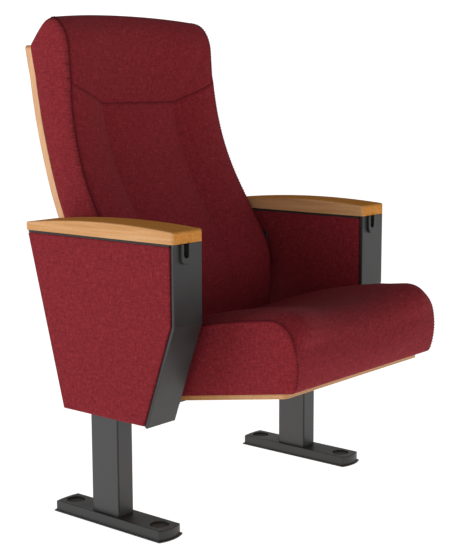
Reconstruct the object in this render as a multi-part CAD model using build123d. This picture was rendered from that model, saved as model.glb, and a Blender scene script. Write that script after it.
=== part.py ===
# Tip-up auditorium seat: two upholstered arm boxes on steel columns, a tall upholstered back fixed
# between them, and a seat that tips up about two pins, held down here at rest.
#
# Frame, in millimetres: the origin lies on the floor, midway between the two feet. +Z is up, +X is to
# the right of someone facing the chair, and the chair faces -Y. Profiles are (y, z) pairs.

import os
from math import acos, asin, cos, hypot, pi, radians, sin, sqrt

from build123d import *

# ---- Driving dimensions ---------------------------------------------------------------------------

ARM_PITCH = 620.0            # arm centre to arm centre
TOUCH_GAP = 0.3              # left between curved or soft faces that meet

# Feet
PLATE_THICKNESS = 5.0
ANCHOR_SPACING = 236.0       # anchor hole to anchor hole, front to back
ANCHOR_HOLE_R = 5.5
COVER_HEIGHT = 22.0
COVER_HALF_WIDTH = 30.5
COVER_HALF_LENGTH = 144.0    # to the corners: both ends bow out past them
COVER_WALL = 2.5
COVER_LIP = 3.5              # how far the thin lip stands out round the cover
COVER_LIP_HEIGHT = 2.5
FRONT_END_BOW = 8.0
REAR_END_BOW = 3.0
PLUG_R = 19.0
PLUG_THICKNESS = 2.2
PLUG_STEM_R = 8.0
PLUG_STEM_LENGTH = 4.0
RECESS_DEPTH = 5.0

# Columns
COLUMN_WIDTH = 42.0
COLUMN_DEPTH = 75.0
COLUMN_Y = 10.0
COLUMN_WALL = 3.0
COLUMN_EDGE_R = 3.0
TOP_PLATE_LENGTH = 170.0
TOP_PLATE_THICKNESS = 5.0

# Arm boxes, as a five-sided outline seen from the side
ARM_WIDTH = 80.0
ARM_TOP_Z = 579.0
ARM_KNEE_Z = 430.5
ARM_BOTTOM_Z = 227.5
ARM_FRONT_Y = -188.0
ARM_BOTTOM_FRONT_Y = -116.0
ARM_BOTTOM_REAR_Y = 106.0
ARM_TOP_REAR_Y = 200.0
PANEL_THICKNESS = 10.0
PANEL_EDGE_R = 3.0
RAIL_THICKNESS = 16.0
FASCIA_THICKNESS = 10.0
FASCIA_EDGE_R = 1.5
FASCIA_GAP_WIDTH = 6.5       # shadow gap down each side, from the panels' front edges forward
FASCIA_GAP_DEPTH = 4.0       # and inward from the fascia's side
TRIM_THICKNESS = 2.0

# Slotted bezel on each fascia, set off to the same side on both arms
SLOT_OFFSET_X = -10.0
SLOT_WIDTH = 14.0
SLOT_DEPTH_Z = 27.0          # from the cap down to the bottom of the slot
BEZEL_WALL = 6.0
BEZEL_PROUD = 6.0
BEZEL_EDGE_R = 1.5

# Arm caps
CARRIER_THICKNESS = 5.0
CAP_WIDTH = 84.0
CAP_FRONT_Y = -199.0
CAP_REAR_Y = 202.0
CAP_FRONT_HEIGHT = 23.0
CAP_CROWN_HEIGHT = 29.6
CAP_CROWN_Y = -33.0
CAP_REAR_HEIGHT = 16.0
CAP_NOSE_R = 6.0             # front corners and the front's upper edge
CAP_REAR_R = 4.0
CAP_EDGE_R = 2.5
CAP_SCREW_R = 2.5
CAP_SCREW_LENGTH = 38.0

# Seat pivot
PIVOT_Y = -55.0
PIVOT_Z = 330.0
SEAT_TILT = 9.8              # front of the seat raised, in degrees
TIP_ANGLE = 78.0             # how far the seat tips up from rest
PIN_R = 8.0
PIN_CLEARANCE = 0.05
PIN_END_GAP = 1.5            # from the cushion's side to the pin
PIN_CHAMFER = 1.0
BUSH_WALL = 3.0
BUSH_FLANGE_R = 14.0
BUSH_FLANGE_THICKNESS = 2.0
SIDE_PLATE_THICKNESS = 5.0
SIDE_PLATE_R = 52.0
SIDE_PLATE_GAP = 2.5         # from the cushion's side to the side plate
SIDE_PLATE_MARGIN = 3.0      # round the two cross tubes
BRACKET_THICKNESS = 6.0
BRACKET_HEIGHT = 70.0
BOSS_R = 15.0
BOSS_GAP = 1.0               # from the bush's flange to the boss
STOP_RADIUS = 36.0           # pivot to stop stud
STOP_STUD_R = 4.0
BUFFER_WALL = 2.5
BUFFER_OVERHANG = 1.0        # past each face of the side plate
SPRING_R = 21.0              # to the middle of the wire
SPRING_WIRE_R = 1.5
SPRING_PITCH = 3.5
SPRING_WHOLE_TURNS = 2
SPRING_LEG_PAST = 4.0        # how far each leg runs on past what it bears on
SPRING_TOUCH = 0.15
SPRING_END_GAP = 1.0         # from the bracket to the first turn

# Bars welded inside the arm, and the bolts that go into them
BAR_REACH_FRONT = -95.0
BACK_BAR_REACH = 140.0
BACK_BAR_Z = 485.0
BACK_BAR_HEIGHT = 60.0
BOLT_R = 4.0
BOLT_HEAD_R = 6.5
BOLT_HEAD_HEIGHT = 5.0
BOLT_END_GAP = 2.0           # from a bolt's tip to the column
BOLT_FIT = 0.1
PIVOT_BOLTS_AT = (-16.0, 20.0)   # from the middle of the column, front to back
BACK_BOLTS_AT = (16.0, 62.0)     # from the front edge of the back bracket
SCREW_R = 3.0
SCREW_HEAD_HEIGHT = 3.0
SCREW_COVER = 2.0            # wood left past a screw's tip
SCREW_EDGE = 14.0            # from a screw's middle to the bracket's edge
BACK_BRACKET_HEIGHT = 96.0
BACK_BRACKET_FRONT_Y = 66.0
BACK_FLANGE_WIDTH = 84.0

# Seat
SIDE_GAP = 31.0              # seat or back cushion to arm box
PLY_SIDE_INSET = 9.0         # seat base edge, in from the cushion's side
PLY_EDGE_R = 1.5
SEAT_BASE_DROP = 84.0        # pivot to the underside of the seat base
SEAT_BASE_THICKNESS = 10.0
SEAT_BASE_FRONT = 302.0      # pivot to the front edge, along the seat
SEAT_BASE_REAR = -75.0
SEAT_BASE_CORNER_R = 9.0
SEAT_NOSE_OVERHANG = 27.5    # cushion's lower front edge, past the base
SEAT_NOSE_REACH = 350.0      # pivot to the foremost point of the cushion
SEAT_NOSE_HEIGHT = 8.0       # of that point, above the pivot
SEAT_FACE_MID = (3.5, -34.0)     # on the face below it: back from the nose, above the pivot
SEAT_ROLL_MID = (14.0, 44.0)     # on the front roll, likewise
SEAT_TOP_FRONT = (43.0, 62.3)    # where the front roll meets the top, likewise
SEAT_TOP_MIDDLE = (127.0, 61.5)  # on the top: along the seat and above the pivot
SEAT_REAR_OVERHANG = 3.0     # cushion's rear, past the base
SEAT_HEEL_HEIGHT = 16.0      # where the rear starts to round over
SEAT_HEEL_MID = (5.0, 35.0)      # on the rear rounding: ahead of the rear, above the pivot
SEAT_TOP_REAR = (22.0, 44.0)     # where it meets the top, likewise
SEAT_BOLSTER_RISE = 17.0
SEAT_EDGE_ROLL = 2.0
SEAT_STATIONS = [            # share of the half width, of the bolsters' rise and of the edge roll
    (0, 0, 0), (0.25, 0.06, 0), (0.5, 0.38, 0), (0.68, 0.8, 0),
    (0.8, 1, 0), (0.9, 0.85, 0.1), (0.96, 0.4, 0.35), (1, 0, 1),
]
SEAT_BOLT_INSET = 60.0       # from the cushion's side to the bolts in the tubes
TUBE_SIZE = 14.0
TUBE_WALL = 2.0
FRONT_TUBE_AT = -24.0
REAR_TUBE_AT = -58.0

# Back
BACK_BOTTOM_Z = 330.0
BACK_SHELL_TOP_Z = 956.0
SHELL_TOP_CROWN = 4.0        # the shell's top rises this much to its middle
SHELL_CORNER_R = 8.0
BACK_OVER_SHELL = 66.0       # top of the back cushion, above the shell
BACK_TOP_CROWN = 11.0        # its sides are this much lower than its middle
BACK_CORNER_R = 16.0
BACK_REAR_BULGE = 2.0        # of the slope from the top down to the shell
BACK_EDGE_PAST = 1.0         # back's side, past the seat cushion's
BACK_TAPER = 16.0            # each side is this much narrower at the top
BACK_TAPER_FROM = 310.0      # where that starts and ends, above the back's bottom
BACK_TAPER_TO = 560.0
SHELL_THICKNESS = 17.5
SHELL_BEND_Y = 232.0         # rear face, where the straight lower part starts to bend
SHELL_BEND_Z = 609.0
SHELL_LEAN = 22.7            # lean of the straight lower part, in degrees
SHELL_BEND_R = 1748.0
LUMBAR_Y = 34.0              # front face of the cushion, at its side edge
LUMBAR_TOP_Z = 462.0
BACK_FRONT = {               # back from the lumbar, above its top, and the share of the dish there
    "lumbar": (0.0, 0.0, 0.4),
    "lumbar_mid": (5.0, 36.0, 0.45),
    "slope": (20.0, 70.0, 0.6),
    "bend": (81.0, 168.0, 0.85),
    "bend_mid": (136.5, 290.0, 0.95),
    "head": (159.5, 418.0, 1.0),
}
BACK_CREST = (163.5, 84.0)   # where the top rounds over: back from the lumbar, below the top
DISH = 28.0                  # how far the channels lie behind the side edges
CENTRE_CROWN = 7.0           # how far the middle stands forward of the channels
BOLSTER_SWELL = 4.0          # how far the bolsters stand forward between channel and side
BOLSTER_STEPS = 5
CHANNEL_X = 113.0
SEAM_SIDE_Z = 877.0          # head panel seam at the side edges
SEAM_MIDDLE_Z = 833.0        # and between the two channels
SEAM_DEPTH = 3.0
SEAM_HALF_WIDTH = 3.0

# ---- Sizes worked out from them -------------------------------------------------------------------

ARM_X = ARM_PITCH / 2
ARM_INNER_X = ARM_X - ARM_WIDTH / 2
ARM_OUTER_X = ARM_X + ARM_WIDTH / 2
PANEL_INNER_X = ARM_INNER_X + PANEL_THICKNESS
PANEL_OUTER_X = ARM_OUTER_X - PANEL_THICKNESS
COLUMN_INNER_X = ARM_X - COLUMN_WIDTH / 2
CAP_UNDER_Z = ARM_TOP_Z + CARRIER_THICKNESS
COLUMN_TOP_Z = ARM_TOP_Z - RAIL_THICKNESS - TOP_PLATE_THICKNESS
FASCIA_FRONT_Y = ARM_FRONT_Y - FASCIA_THICKNESS
CUSHION_X = ARM_INNER_X - SIDE_GAP
SIDE_PLATE_X = CUSHION_X + SIDE_PLATE_GAP
BRACKET_X = ARM_INNER_X - BRACKET_THICKNESS
BOSS_X = SIDE_PLATE_X + SIDE_PLATE_THICKNESS + BUSH_FLANGE_THICKNESS + BOSS_GAP
BUSH_R = PIN_R + PIN_CLEARANCE + BUSH_WALL
BUFFER_R = STOP_STUD_R + BUFFER_WALL
ANCHOR_Y = ANCHOR_SPACING / 2
BACK_HALF_WIDTH = CUSHION_X + BACK_EDGE_PAST
BACK_TOP_Z = BACK_SHELL_TOP_Z + BACK_OVER_SHELL
PIVOT = (PIVOT_Y, PIVOT_Z)

ARM_OUTLINE = [
    (ARM_TOP_REAR_Y, ARM_TOP_Z),
    (ARM_FRONT_Y, ARM_TOP_Z),
    (ARM_FRONT_Y, ARM_KNEE_Z),
    (ARM_BOTTOM_FRONT_Y, ARM_BOTTOM_Z),
    (ARM_BOTTOM_REAR_Y, ARM_BOTTOM_Z),
]


# ---- Shared helpers -------------------------------------------------------------------------------

def prism(points, x_low, x_high):
    """A side profile of (y, z) corners, carried from x_low to x_high."""
    face = Plane.YZ.offset(x_low) * make_face(Polyline(*points, close=True))
    return extrude(face, amount=x_high - x_low, dir=(1, 0, 0))


def block(x_range, y_range, z_range):
    """A rectangular block between three pairs of limits."""
    sizes = [high - low for low, high in (x_range, y_range, z_range)]
    middle = [(high + low) / 2 for low, high in (x_range, y_range, z_range)]
    return Pos(*middle) * Box(*sizes)


def rod(y, z, radius, x_low, x_high):
    """A round bar along X."""
    place = Plane(origin=(x_low, y, z), z_dir=(1, 0, 0), x_dir=(0, 1, 0))
    return extrude(place * Circle(radius), amount=x_high - x_low)


def post(x, y, radius, z_low, z_high):
    """A round bar along Z."""
    return extrude(Pos(x, y, z_low) * Circle(radius), amount=z_high - z_low)


def y_at(z, start, end):
    """Where the line through two (y, z) points crosses a height."""
    return start[0] + (end[0] - start[0]) * (z - start[1]) / (end[1] - start[1])


def inset(points, distance):
    """A closed outline moved inwards, or outwards where the distance is negative."""
    lines = []
    count = len(points)
    for i in range(count):
        (y0, z0), (y1, z1) = points[i], points[(i + 1) % count]
        length = hypot(y1 - y0, z1 - z0)
        step = ((z0 - z1) / length * distance, (y1 - y0) / length * distance)
        lines.append(((y0 + step[0], z0 + step[1]), (y1 - y0, z1 - z0)))
    corners = []
    for i in range(count):
        (p, u), (q, v) = lines[i - 1], lines[i]
        cross = u[0] * v[1] - u[1] * v[0]
        t = ((q[0] - p[0]) * v[1] - (q[1] - p[1]) * v[0]) / cross
        corners.append((p[0] + u[0] * t, p[1] + u[1] * t))
    return corners


def seat_point(along, above):
    """(y, z) of a point measured from the pivot, along the seat and square to it."""
    tilt = radians(SEAT_TILT)
    y = PIVOT_Y - along * cos(tilt) + above * sin(tilt)
    z = PIVOT_Z + along * sin(tilt) + above * cos(tilt)
    return y, z


def yz_line(x, start, end):
    return Line((x, *start), (x, *end))


def yz_arc(x, start, middle, end):
    return ThreePointArc((x, *start), (x, *middle), (x, *end))


def other_side(shape):
    """The same piece for the left of the chair."""
    return mirror(shape, about=Plane.YZ)


# ---- Feet and columns -----------------------------------------------------------------------------

def foot_outline(grow):
    """Plan of the foot cover, grown or shrunk: straight sides and bowed ends."""
    half = COVER_HALF_WIDTH + grow
    front = -COVER_HALF_LENGTH - grow
    rear = COVER_HALF_LENGTH + grow
    edges = [
        Line((half, front), (half, rear)),
        ThreePointArc((half, rear), (0, rear + REAR_END_BOW), (-half, rear)),
        Line((-half, rear), (-half, front)),
        ThreePointArc((-half, front), (0, front - FRONT_END_BOW), (half, front)),
    ]
    return Pos(ARM_X, 0) * make_face(edges)


def base_plate():
    plate = extrude(foot_outline(-COVER_WALL - TOUCH_GAP), amount=PLATE_THICKNESS)
    for y in (-ANCHOR_Y, ANCHOR_Y):
        plate -= post(ARM_X, y, ANCHOR_HOLE_R, -1, PLATE_THICKNESS + 1)
    return plate


def foot_cover():
    """A moulded cover over the base plate, open below, with a round recess over each anchor."""
    body = extrude(foot_outline(0), amount=COVER_HEIGHT)
    body = fillet(body.edges().group_by(Axis.Z)[-1], COVER_WALL - 1)
    body += extrude(foot_outline(COVER_LIP), amount=COVER_LIP_HEIGHT)
    body -= extrude(foot_outline(-COVER_WALL), amount=COVER_HEIGHT - COVER_WALL)
    recess_floor = COVER_HEIGHT - RECESS_DEPTH
    for y in (-ANCHOR_Y, ANCHOR_Y):
        body += post(ARM_X, y, PLUG_R + COVER_WALL, recess_floor - COVER_WALL, COVER_HEIGHT - 1)
        body -= post(ARM_X, y, PLUG_R + TOUCH_GAP, recess_floor, COVER_HEIGHT + 1)
        body -= post(ARM_X, y, PLUG_STEM_R + TOUCH_GAP, 0, COVER_HEIGHT)
    body -= column_block(TOUCH_GAP, 0, COVER_HEIGHT + 1)
    return body


def foot_plugs():
    """The two round plugs that close the anchor recesses of one foot."""
    floor = COVER_HEIGHT - RECESS_DEPTH
    plugs = []
    for y in (-ANCHOR_Y, ANCHOR_Y):
        disc = post(ARM_X, y, PLUG_R, floor, floor + PLUG_THICKNESS)
        disc = fillet(disc.edges().group_by(Axis.Z)[-1], PLUG_THICKNESS / 3)
        plugs.append(disc + post(ARM_X, y, PLUG_STEM_R, floor - PLUG_STEM_LENGTH, floor))
    return Compound(children=plugs)


def column_block(grow, z_low, z_high):
    """The space a column takes up, grown all round."""
    half_x = COLUMN_WIDTH / 2 + grow
    half_y = COLUMN_DEPTH / 2 + grow
    return block((ARM_X - half_x, ARM_X + half_x), (COLUMN_Y - half_y, COLUMN_Y + half_y), (z_low, z_high))


def column():
    """A rectangular steel tube, welded to the base plate and running up into the arm box."""
    outer = Pos(ARM_X, COLUMN_Y) * RectangleRounded(COLUMN_WIDTH, COLUMN_DEPTH, COLUMN_EDGE_R)
    inner = Pos(ARM_X, COLUMN_Y) * Rectangle(COLUMN_WIDTH - 2 * COLUMN_WALL, COLUMN_DEPTH - 2 * COLUMN_WALL)
    return extrude(Pos(0, 0, PLATE_THICKNESS) * (outer - inner), amount=COLUMN_TOP_Z - PLATE_THICKNESS)


def cap_screw_places():
    """The two screws lie outside the column, near the ends of its top plate."""
    reach = TOP_PLATE_LENGTH / 2 - 2 * BOLT_R
    return [COLUMN_Y - reach, COLUMN_Y + reach]


def column_top_plate():
    """A plate welded on the column's top, under the arm's top rail."""
    reach = TOP_PLATE_LENGTH / 2
    plate = block(
        (PANEL_INNER_X + 1, PANEL_OUTER_X - 1),
        (COLUMN_Y - reach, COLUMN_Y + reach),
        (COLUMN_TOP_Z, COLUMN_TOP_Z + TOP_PLATE_THICKNESS),
    )
    for y in cap_screw_places():
        plate -= post(ARM_X, y, CAP_SCREW_R + BOLT_FIT, COLUMN_TOP_Z - 1, ARM_TOP_Z)
    return plate


# ---- Arm boxes ------------------------------------------------------------------------------------

def arm_frame():
    """Five plywood rails, mitred and glued into a closed frame between the two panels."""
    behind_trim = TRIM_THICKNESS + 1.0
    top_rear = (ARM_TOP_REAR_Y - behind_trim, ARM_TOP_Z)
    bottom_rear = (ARM_BOTTOM_REAR_Y - behind_trim, ARM_BOTTOM_Z)
    outer = [top_rear, *ARM_OUTLINE[1:4], bottom_rear]
    inner = inset(outer, RAIL_THICKNESS)
    rails = []
    for i in range(len(outer)):
        j = (i + 1) % len(outer)
        rail = prism([outer[i], outer[j], inner[j], inner[i]], PANEL_INNER_X, PANEL_OUTER_X)
        rail -= column_block(TOUCH_GAP, 0, COLUMN_TOP_Z)
        for y in cap_screw_places():
            rail -= post(ARM_X, y, CAP_SCREW_R + BOLT_FIT, COLUMN_TOP_Z, ARM_TOP_Z + 1)
        rails.append(rail)
    return Compound(children=rails)


def panel(x_low, x_high, outer_face_x):
    """A covered board closing one side of the arm box, its showing edges eased."""
    board = prism(ARM_OUTLINE, x_low, x_high)
    showing = board.faces().sort_by(lambda face: abs(face.center().X - outer_face_x))[0]
    return fillet(showing.edges(), PANEL_EDGE_R)


def outer_panel():
    return panel(PANEL_OUTER_X, ARM_OUTER_X, ARM_OUTER_X)


def pivot_bolt_places():
    """Four bolts hold the pivot bracket to the bar behind it, beside the column's middle."""
    rise = BRACKET_HEIGHT / 2 - 2 * BOLT_HEAD_R
    return [(COLUMN_Y + dy, PIVOT_Z + dz) for dy in PIVOT_BOLTS_AT for dz in (-rise, rise)]


def back_bolt_places():
    """Two bolts hold each back bracket to the upper bar."""
    return [(BACK_BRACKET_FRONT_Y + dy, BACK_BAR_Z) for dy in BACK_BOLTS_AT]


def inner_panel():
    board = panel(ARM_INNER_X, PANEL_INNER_X, ARM_INNER_X)
    for y, z in pivot_bolt_places() + back_bolt_places():
        board -= rod(y, z, BOLT_R + BOLT_FIT, ARM_INNER_X - 1, PANEL_INNER_X + 1)
    return board


def mount_bars():
    """Two steel bars welded to the column's inner side, tapped for the bracket bolts."""
    column_front = COLUMN_Y - COLUMN_DEPTH / 2
    column_rear = COLUMN_Y + COLUMN_DEPTH / 2
    low = block(
        (PANEL_INNER_X, COLUMN_INNER_X),
        (BAR_REACH_FRONT, column_rear),
        (PIVOT_Z - BRACKET_HEIGHT / 2, PIVOT_Z + BRACKET_HEIGHT / 2),
    )
    high = block(
        (PANEL_INNER_X, COLUMN_INNER_X),
        (column_front, BACK_BAR_REACH),
        (BACK_BAR_Z - BACK_BAR_HEIGHT / 2, BACK_BAR_Z + BACK_BAR_HEIGHT / 2),
    )
    for y, z in pivot_bolt_places():
        low -= rod(y, z, BOLT_R + BOLT_FIT, PANEL_INNER_X - 1, COLUMN_INNER_X - 1)
    for y, z in back_bolt_places():
        high -= rod(y, z, BOLT_R + BOLT_FIT, PANEL_INNER_X - 1, COLUMN_INNER_X - 1)
    return Compound(children=[low, high])


def fascia_outline():
    """The strip in front of the arm box: upright, then sloping back below the knee."""
    behind = inset(ARM_OUTLINE, -TOUCH_GAP)
    front = inset(ARM_OUTLINE, -FASCIA_THICKNESS)
    low_z = ARM_BOTTOM_Z - TRIM_THICKNESS
    return [
        (behind[1][0], CAP_UNDER_Z),
        (front[1][0], CAP_UNDER_Z),
        front[2],
        (y_at(low_z, front[2], front[3]), low_z),
        (y_at(low_z, behind[2], behind[3]), low_z),
        behind[2],
    ]


def fascia_gaps(x):
    """The spaces down the two sides of the fascia, where it steps in beside the panels."""
    behind = inset(ARM_OUTLINE, 1.0)
    front = inset(ARM_OUTLINE, -FASCIA_GAP_WIDTH)
    low_z = ARM_BOTTOM_Z - TRIM_THICKNESS - 1
    points = [
        (behind[1][0], CAP_UNDER_Z + 1),
        (front[1][0], CAP_UNDER_Z + 1),
        front[2],
        (y_at(low_z, front[2], front[3]), low_z),
        (y_at(low_z, behind[2], behind[3]), low_z),
        behind[2],
    ]
    made = []
    for side in (-1, 1):
        face_x = x + side * ARM_WIDTH / 2
        near, far = face_x - side * FASCIA_GAP_DEPTH, face_x + side
        made.append(prism(points, min(near, far), max(near, far)))
    return made


def slot_shape(x, half_width, bottom_z, y_low, y_high):
    """A slot, open at the cap and rounded at the bottom, cut or built along Y."""
    centre_z = bottom_z + half_width
    straight = block((x - half_width, x + half_width), (y_low, y_high), (centre_z, CAP_UNDER_Z))
    place = Plane(origin=(x, y_high, centre_z), z_dir=(0, -1, 0), x_dir=(1, 0, 0))
    return straight + extrude(place * Circle(half_width), amount=y_high - y_low)


def front_fascia(x):
    """The moulded fascia, with the slot cut right through it."""
    body = prism(fascia_outline(), x - ARM_WIDTH / 2, x + ARM_WIDTH / 2)
    showing = [edge for face in body.faces() if face.normal_at().Y < -0.5 for edge in face.edges()]
    body = fillet([edge for edge in showing if abs((edge % 0.5).X) < 0.5], FASCIA_EDGE_R)
    for gap in fascia_gaps(x):
        body -= gap
    slot_x = x + SLOT_OFFSET_X
    bottom = CAP_UNDER_Z - SLOT_DEPTH_Z
    return body - slot_shape(slot_x, SLOT_WIDTH / 2, bottom, FASCIA_FRONT_Y - 1, ARM_FRONT_Y + 1)


def slot_bezel(x):
    """The raised U-shaped lip round the slot."""
    slot_x = x + SLOT_OFFSET_X
    bottom = CAP_UNDER_Z - SLOT_DEPTH_Z
    front = FASCIA_FRONT_Y - BEZEL_PROUD
    outer_half = SLOT_WIDTH / 2 + BEZEL_WALL
    lip = slot_shape(slot_x, outer_half, bottom - 2 * BEZEL_WALL, front, FASCIA_FRONT_Y)
    showing = lip.faces().sort_by(Axis.Y)[0].edges().filter_by_position(Axis.Z, 0, CAP_UNDER_Z - 1)
    lip = fillet(showing, BEZEL_EDGE_R)
    return lip - slot_shape(slot_x, SLOT_WIDTH / 2, bottom, front - 1, FASCIA_FRONT_Y + 1)


def rear_trim():
    """A moulded strip between the two panels, closing the back edge of the arm box."""
    rear = inset(ARM_OUTLINE, 0.5)
    front = inset(ARM_OUTLINE, 0.5 + TRIM_THICKNESS)
    points = [
        (y_at(ARM_BOTTOM_Z + 1, rear[4], rear[0]), ARM_BOTTOM_Z + 1),
        (y_at(ARM_TOP_Z - 1, rear[4], rear[0]), ARM_TOP_Z - 1),
        (y_at(ARM_TOP_Z - 1, front[4], front[0]), ARM_TOP_Z - 1),
        (y_at(ARM_BOTTOM_Z + 1, front[4], front[0]), ARM_BOTTOM_Z + 1),
    ]
    return prism(points, PANEL_INNER_X, PANEL_OUTER_X)


def bottom_trim():
    """A flat strip under the arm box, between the panels, with a hole for the column."""
    strip = block(
        (PANEL_INNER_X, PANEL_OUTER_X),
        (ARM_BOTTOM_FRONT_Y + 2, ARM_BOTTOM_REAR_Y),
        (ARM_BOTTOM_Z - TRIM_THICKNESS, ARM_BOTTOM_Z),
    )
    return strip - column_block(TOUCH_GAP, 0, ARM_TOP_Z)


def cap_carrier():
    """The thin dark board between the arm box and its cap."""
    board = block(
        (ARM_INNER_X + 1, ARM_OUTER_X - 1),
        (ARM_FRONT_Y + 1, ARM_TOP_REAR_Y - 2),
        (ARM_TOP_Z, CAP_UNDER_Z),
    )
    for y in cap_screw_places():
        board -= post(ARM_X, y, CAP_SCREW_R + BOLT_FIT, ARM_TOP_Z - 1, CAP_UNDER_Z + 1)
    return board


def arm_cap():
    """A solid beech cap: flat below, a long shallow arc above, with a rounded nose."""
    front_low = (CAP_FRONT_Y, CAP_UNDER_Z)
    front_high = (CAP_FRONT_Y, CAP_UNDER_Z + CAP_FRONT_HEIGHT)
    crown = (CAP_CROWN_Y, CAP_UNDER_Z + CAP_CROWN_HEIGHT)
    rear_high = (CAP_REAR_Y, CAP_UNDER_Z + CAP_REAR_HEIGHT)
    rear_low = (CAP_REAR_Y, CAP_UNDER_Z)
    x = ARM_X - CAP_WIDTH / 2
    edges = [
        yz_line(x, rear_low, front_low),
        yz_line(x, front_low, front_high),
        yz_arc(x, front_high, crown, rear_high),
        yz_line(x, rear_high, rear_low),
    ]
    body = extrude(make_face(edges), amount=CAP_WIDTH, dir=(1, 0, 0))
    uprights = body.edges().filter_by(Axis.Z).sort_by(Axis.Y)
    nose = body.edges().filter_by(Axis.X).sort_by(Axis.Y)[:2].sort_by(Axis.Z)[-1]
    body = fillet([*uprights[:2], nose], CAP_NOSE_R)
    body = fillet(body.edges().filter_by(Axis.Z).sort_by(Axis.Y)[-2:], CAP_REAR_R)
    top = body.faces().sort_by(Axis.Z)[-1]
    body = fillet(top.edges().sort_by(Axis.Y)[1:], CAP_EDGE_R)
    for y in cap_screw_places():
        body -= post(ARM_X, y, CAP_SCREW_R + BOLT_FIT, CAP_UNDER_Z - 1, screw_tip_z() + 1)
    return body


def screw_tip_z():
    return COLUMN_TOP_Z + CAP_SCREW_LENGTH


def cap_screws():
    """Screws up through the top plate, rail and carrier into the cap."""
    head_height = CAP_SCREW_R * 1.2
    screws = []
    for y in cap_screw_places():
        head = post(ARM_X, y, CAP_SCREW_R * 2, COLUMN_TOP_Z - head_height, COLUMN_TOP_Z)
        screws.append(head + post(ARM_X, y, CAP_SCREW_R, COLUMN_TOP_Z, screw_tip_z()))
    return Compound(children=screws)


# ---- Seat pivot, one each side --------------------------------------------------------------------

def pivot_bracket():
    """A plate bolted inside the arm, with the pin's boss and the stop stud welded on."""
    half = BRACKET_HEIGHT / 2
    rear = COLUMN_Y + COLUMN_DEPTH / 2
    plate = block((BRACKET_X, ARM_INNER_X), (PIVOT_Y, rear), (PIVOT_Z - half, PIVOT_Z + half))
    plate += rod(*PIVOT, half, BRACKET_X, ARM_INNER_X)
    plate += rod(*PIVOT, BOSS_R, BOSS_X, BRACKET_X)
    plate -= rod(*PIVOT, PIN_R + BOLT_FIT / 2, BOSS_X - 1, ARM_INNER_X + 1)
    plate += rod(*stop_place(), STOP_STUD_R, SIDE_PLATE_X - BUFFER_OVERHANG, BRACKET_X)
    for y, z in pivot_bolt_places():
        plate -= rod(y, z, BOLT_R + BOLT_FIT, BRACKET_X - 1, ARM_INNER_X + 1)
    return plate


def stop_place():
    """The stop stud stands straight behind the pivot."""
    return PIVOT_Y + STOP_RADIUS, PIVOT_Z


def bolts(places, head_x, tip_x):
    """Hexagon-headed bolts along X, heads towards the seat."""
    made = []
    for y, z in places:
        place = Plane(origin=(head_x, y, z), z_dir=(-1, 0, 0), x_dir=(0, 1, 0))
        head = extrude(place * RegularPolygon(BOLT_HEAD_R, 6), amount=BOLT_HEAD_HEIGHT)
        made.append(head + rod(y, z, BOLT_R, head_x, tip_x))
    return Compound(children=made)


def pivot_bolts():
    return bolts(pivot_bolt_places(), BRACKET_X, COLUMN_INNER_X - BOLT_END_GAP)


def pivot_pin():
    """The pin the seat turns on, held in the bracket's boss."""
    pin = rod(*PIVOT, PIN_R, CUSHION_X + PIN_END_GAP, ARM_INNER_X)
    return chamfer(pin.edges().sort_by(Axis.X)[0], PIN_CHAMFER)


def pivot_bush():
    """A flanged nylon bush, pressed into the side plate and turning on the pin."""
    inner = SIDE_PLATE_X
    outer = SIDE_PLATE_X + SIDE_PLATE_THICKNESS
    bush = rod(*PIVOT, BUSH_R, inner, outer)
    bush += rod(*PIVOT, BUSH_FLANGE_R, outer, outer + BUSH_FLANGE_THICKNESS)
    return bush - rod(*PIVOT, PIN_R + PIN_CLEARANCE, inner - 1, outer + BUSH_FLANGE_THICKNESS + 1)


def stop_buffer():
    """A rubber sleeve on the stop stud, which the ends of the side plate's slot meet."""
    low = SIDE_PLATE_X - BUFFER_OVERHANG
    high = SIDE_PLATE_X + SIDE_PLATE_THICKNESS + BUFFER_OVERHANG
    sleeve = rod(*stop_place(), BUFFER_R, low, high)
    return sleeve - rod(*stop_place(), STOP_STUD_R + BOLT_FIT / 2, low - 1, high + 1)


def stop_slot():
    """A slot round the pivot, as long as the seat's travel, for the sleeve to lie in."""
    half = BUFFER_R + TOUCH_GAP
    low = SIDE_PLATE_X - 1
    high = SIDE_PLATE_X + SIDE_PLATE_THICKNESS + 1
    end = radians(TIP_ANGLE)
    middle = end / 2
    outer = STOP_RADIUS + half
    inner = STOP_RADIUS - half

    def polar(radius, angle):
        return PIVOT_Y + radius * cos(angle), PIVOT_Z + radius * sin(angle)

    edges = [
        yz_arc(low, polar(outer, 0), polar(outer, middle), polar(outer, end)),
        yz_line(low, polar(outer, end), polar(inner, end)),
        yz_arc(low, polar(inner, end), polar(inner, middle), polar(inner, 0)),
        yz_line(low, polar(inner, 0), polar(outer, 0)),
    ]
    slot = extrude(make_face(edges), amount=high - low, dir=(1, 0, 0))
    for angle in (0, end):
        slot += rod(*polar(STOP_RADIUS, angle), half, low, high)
    return slot


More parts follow.
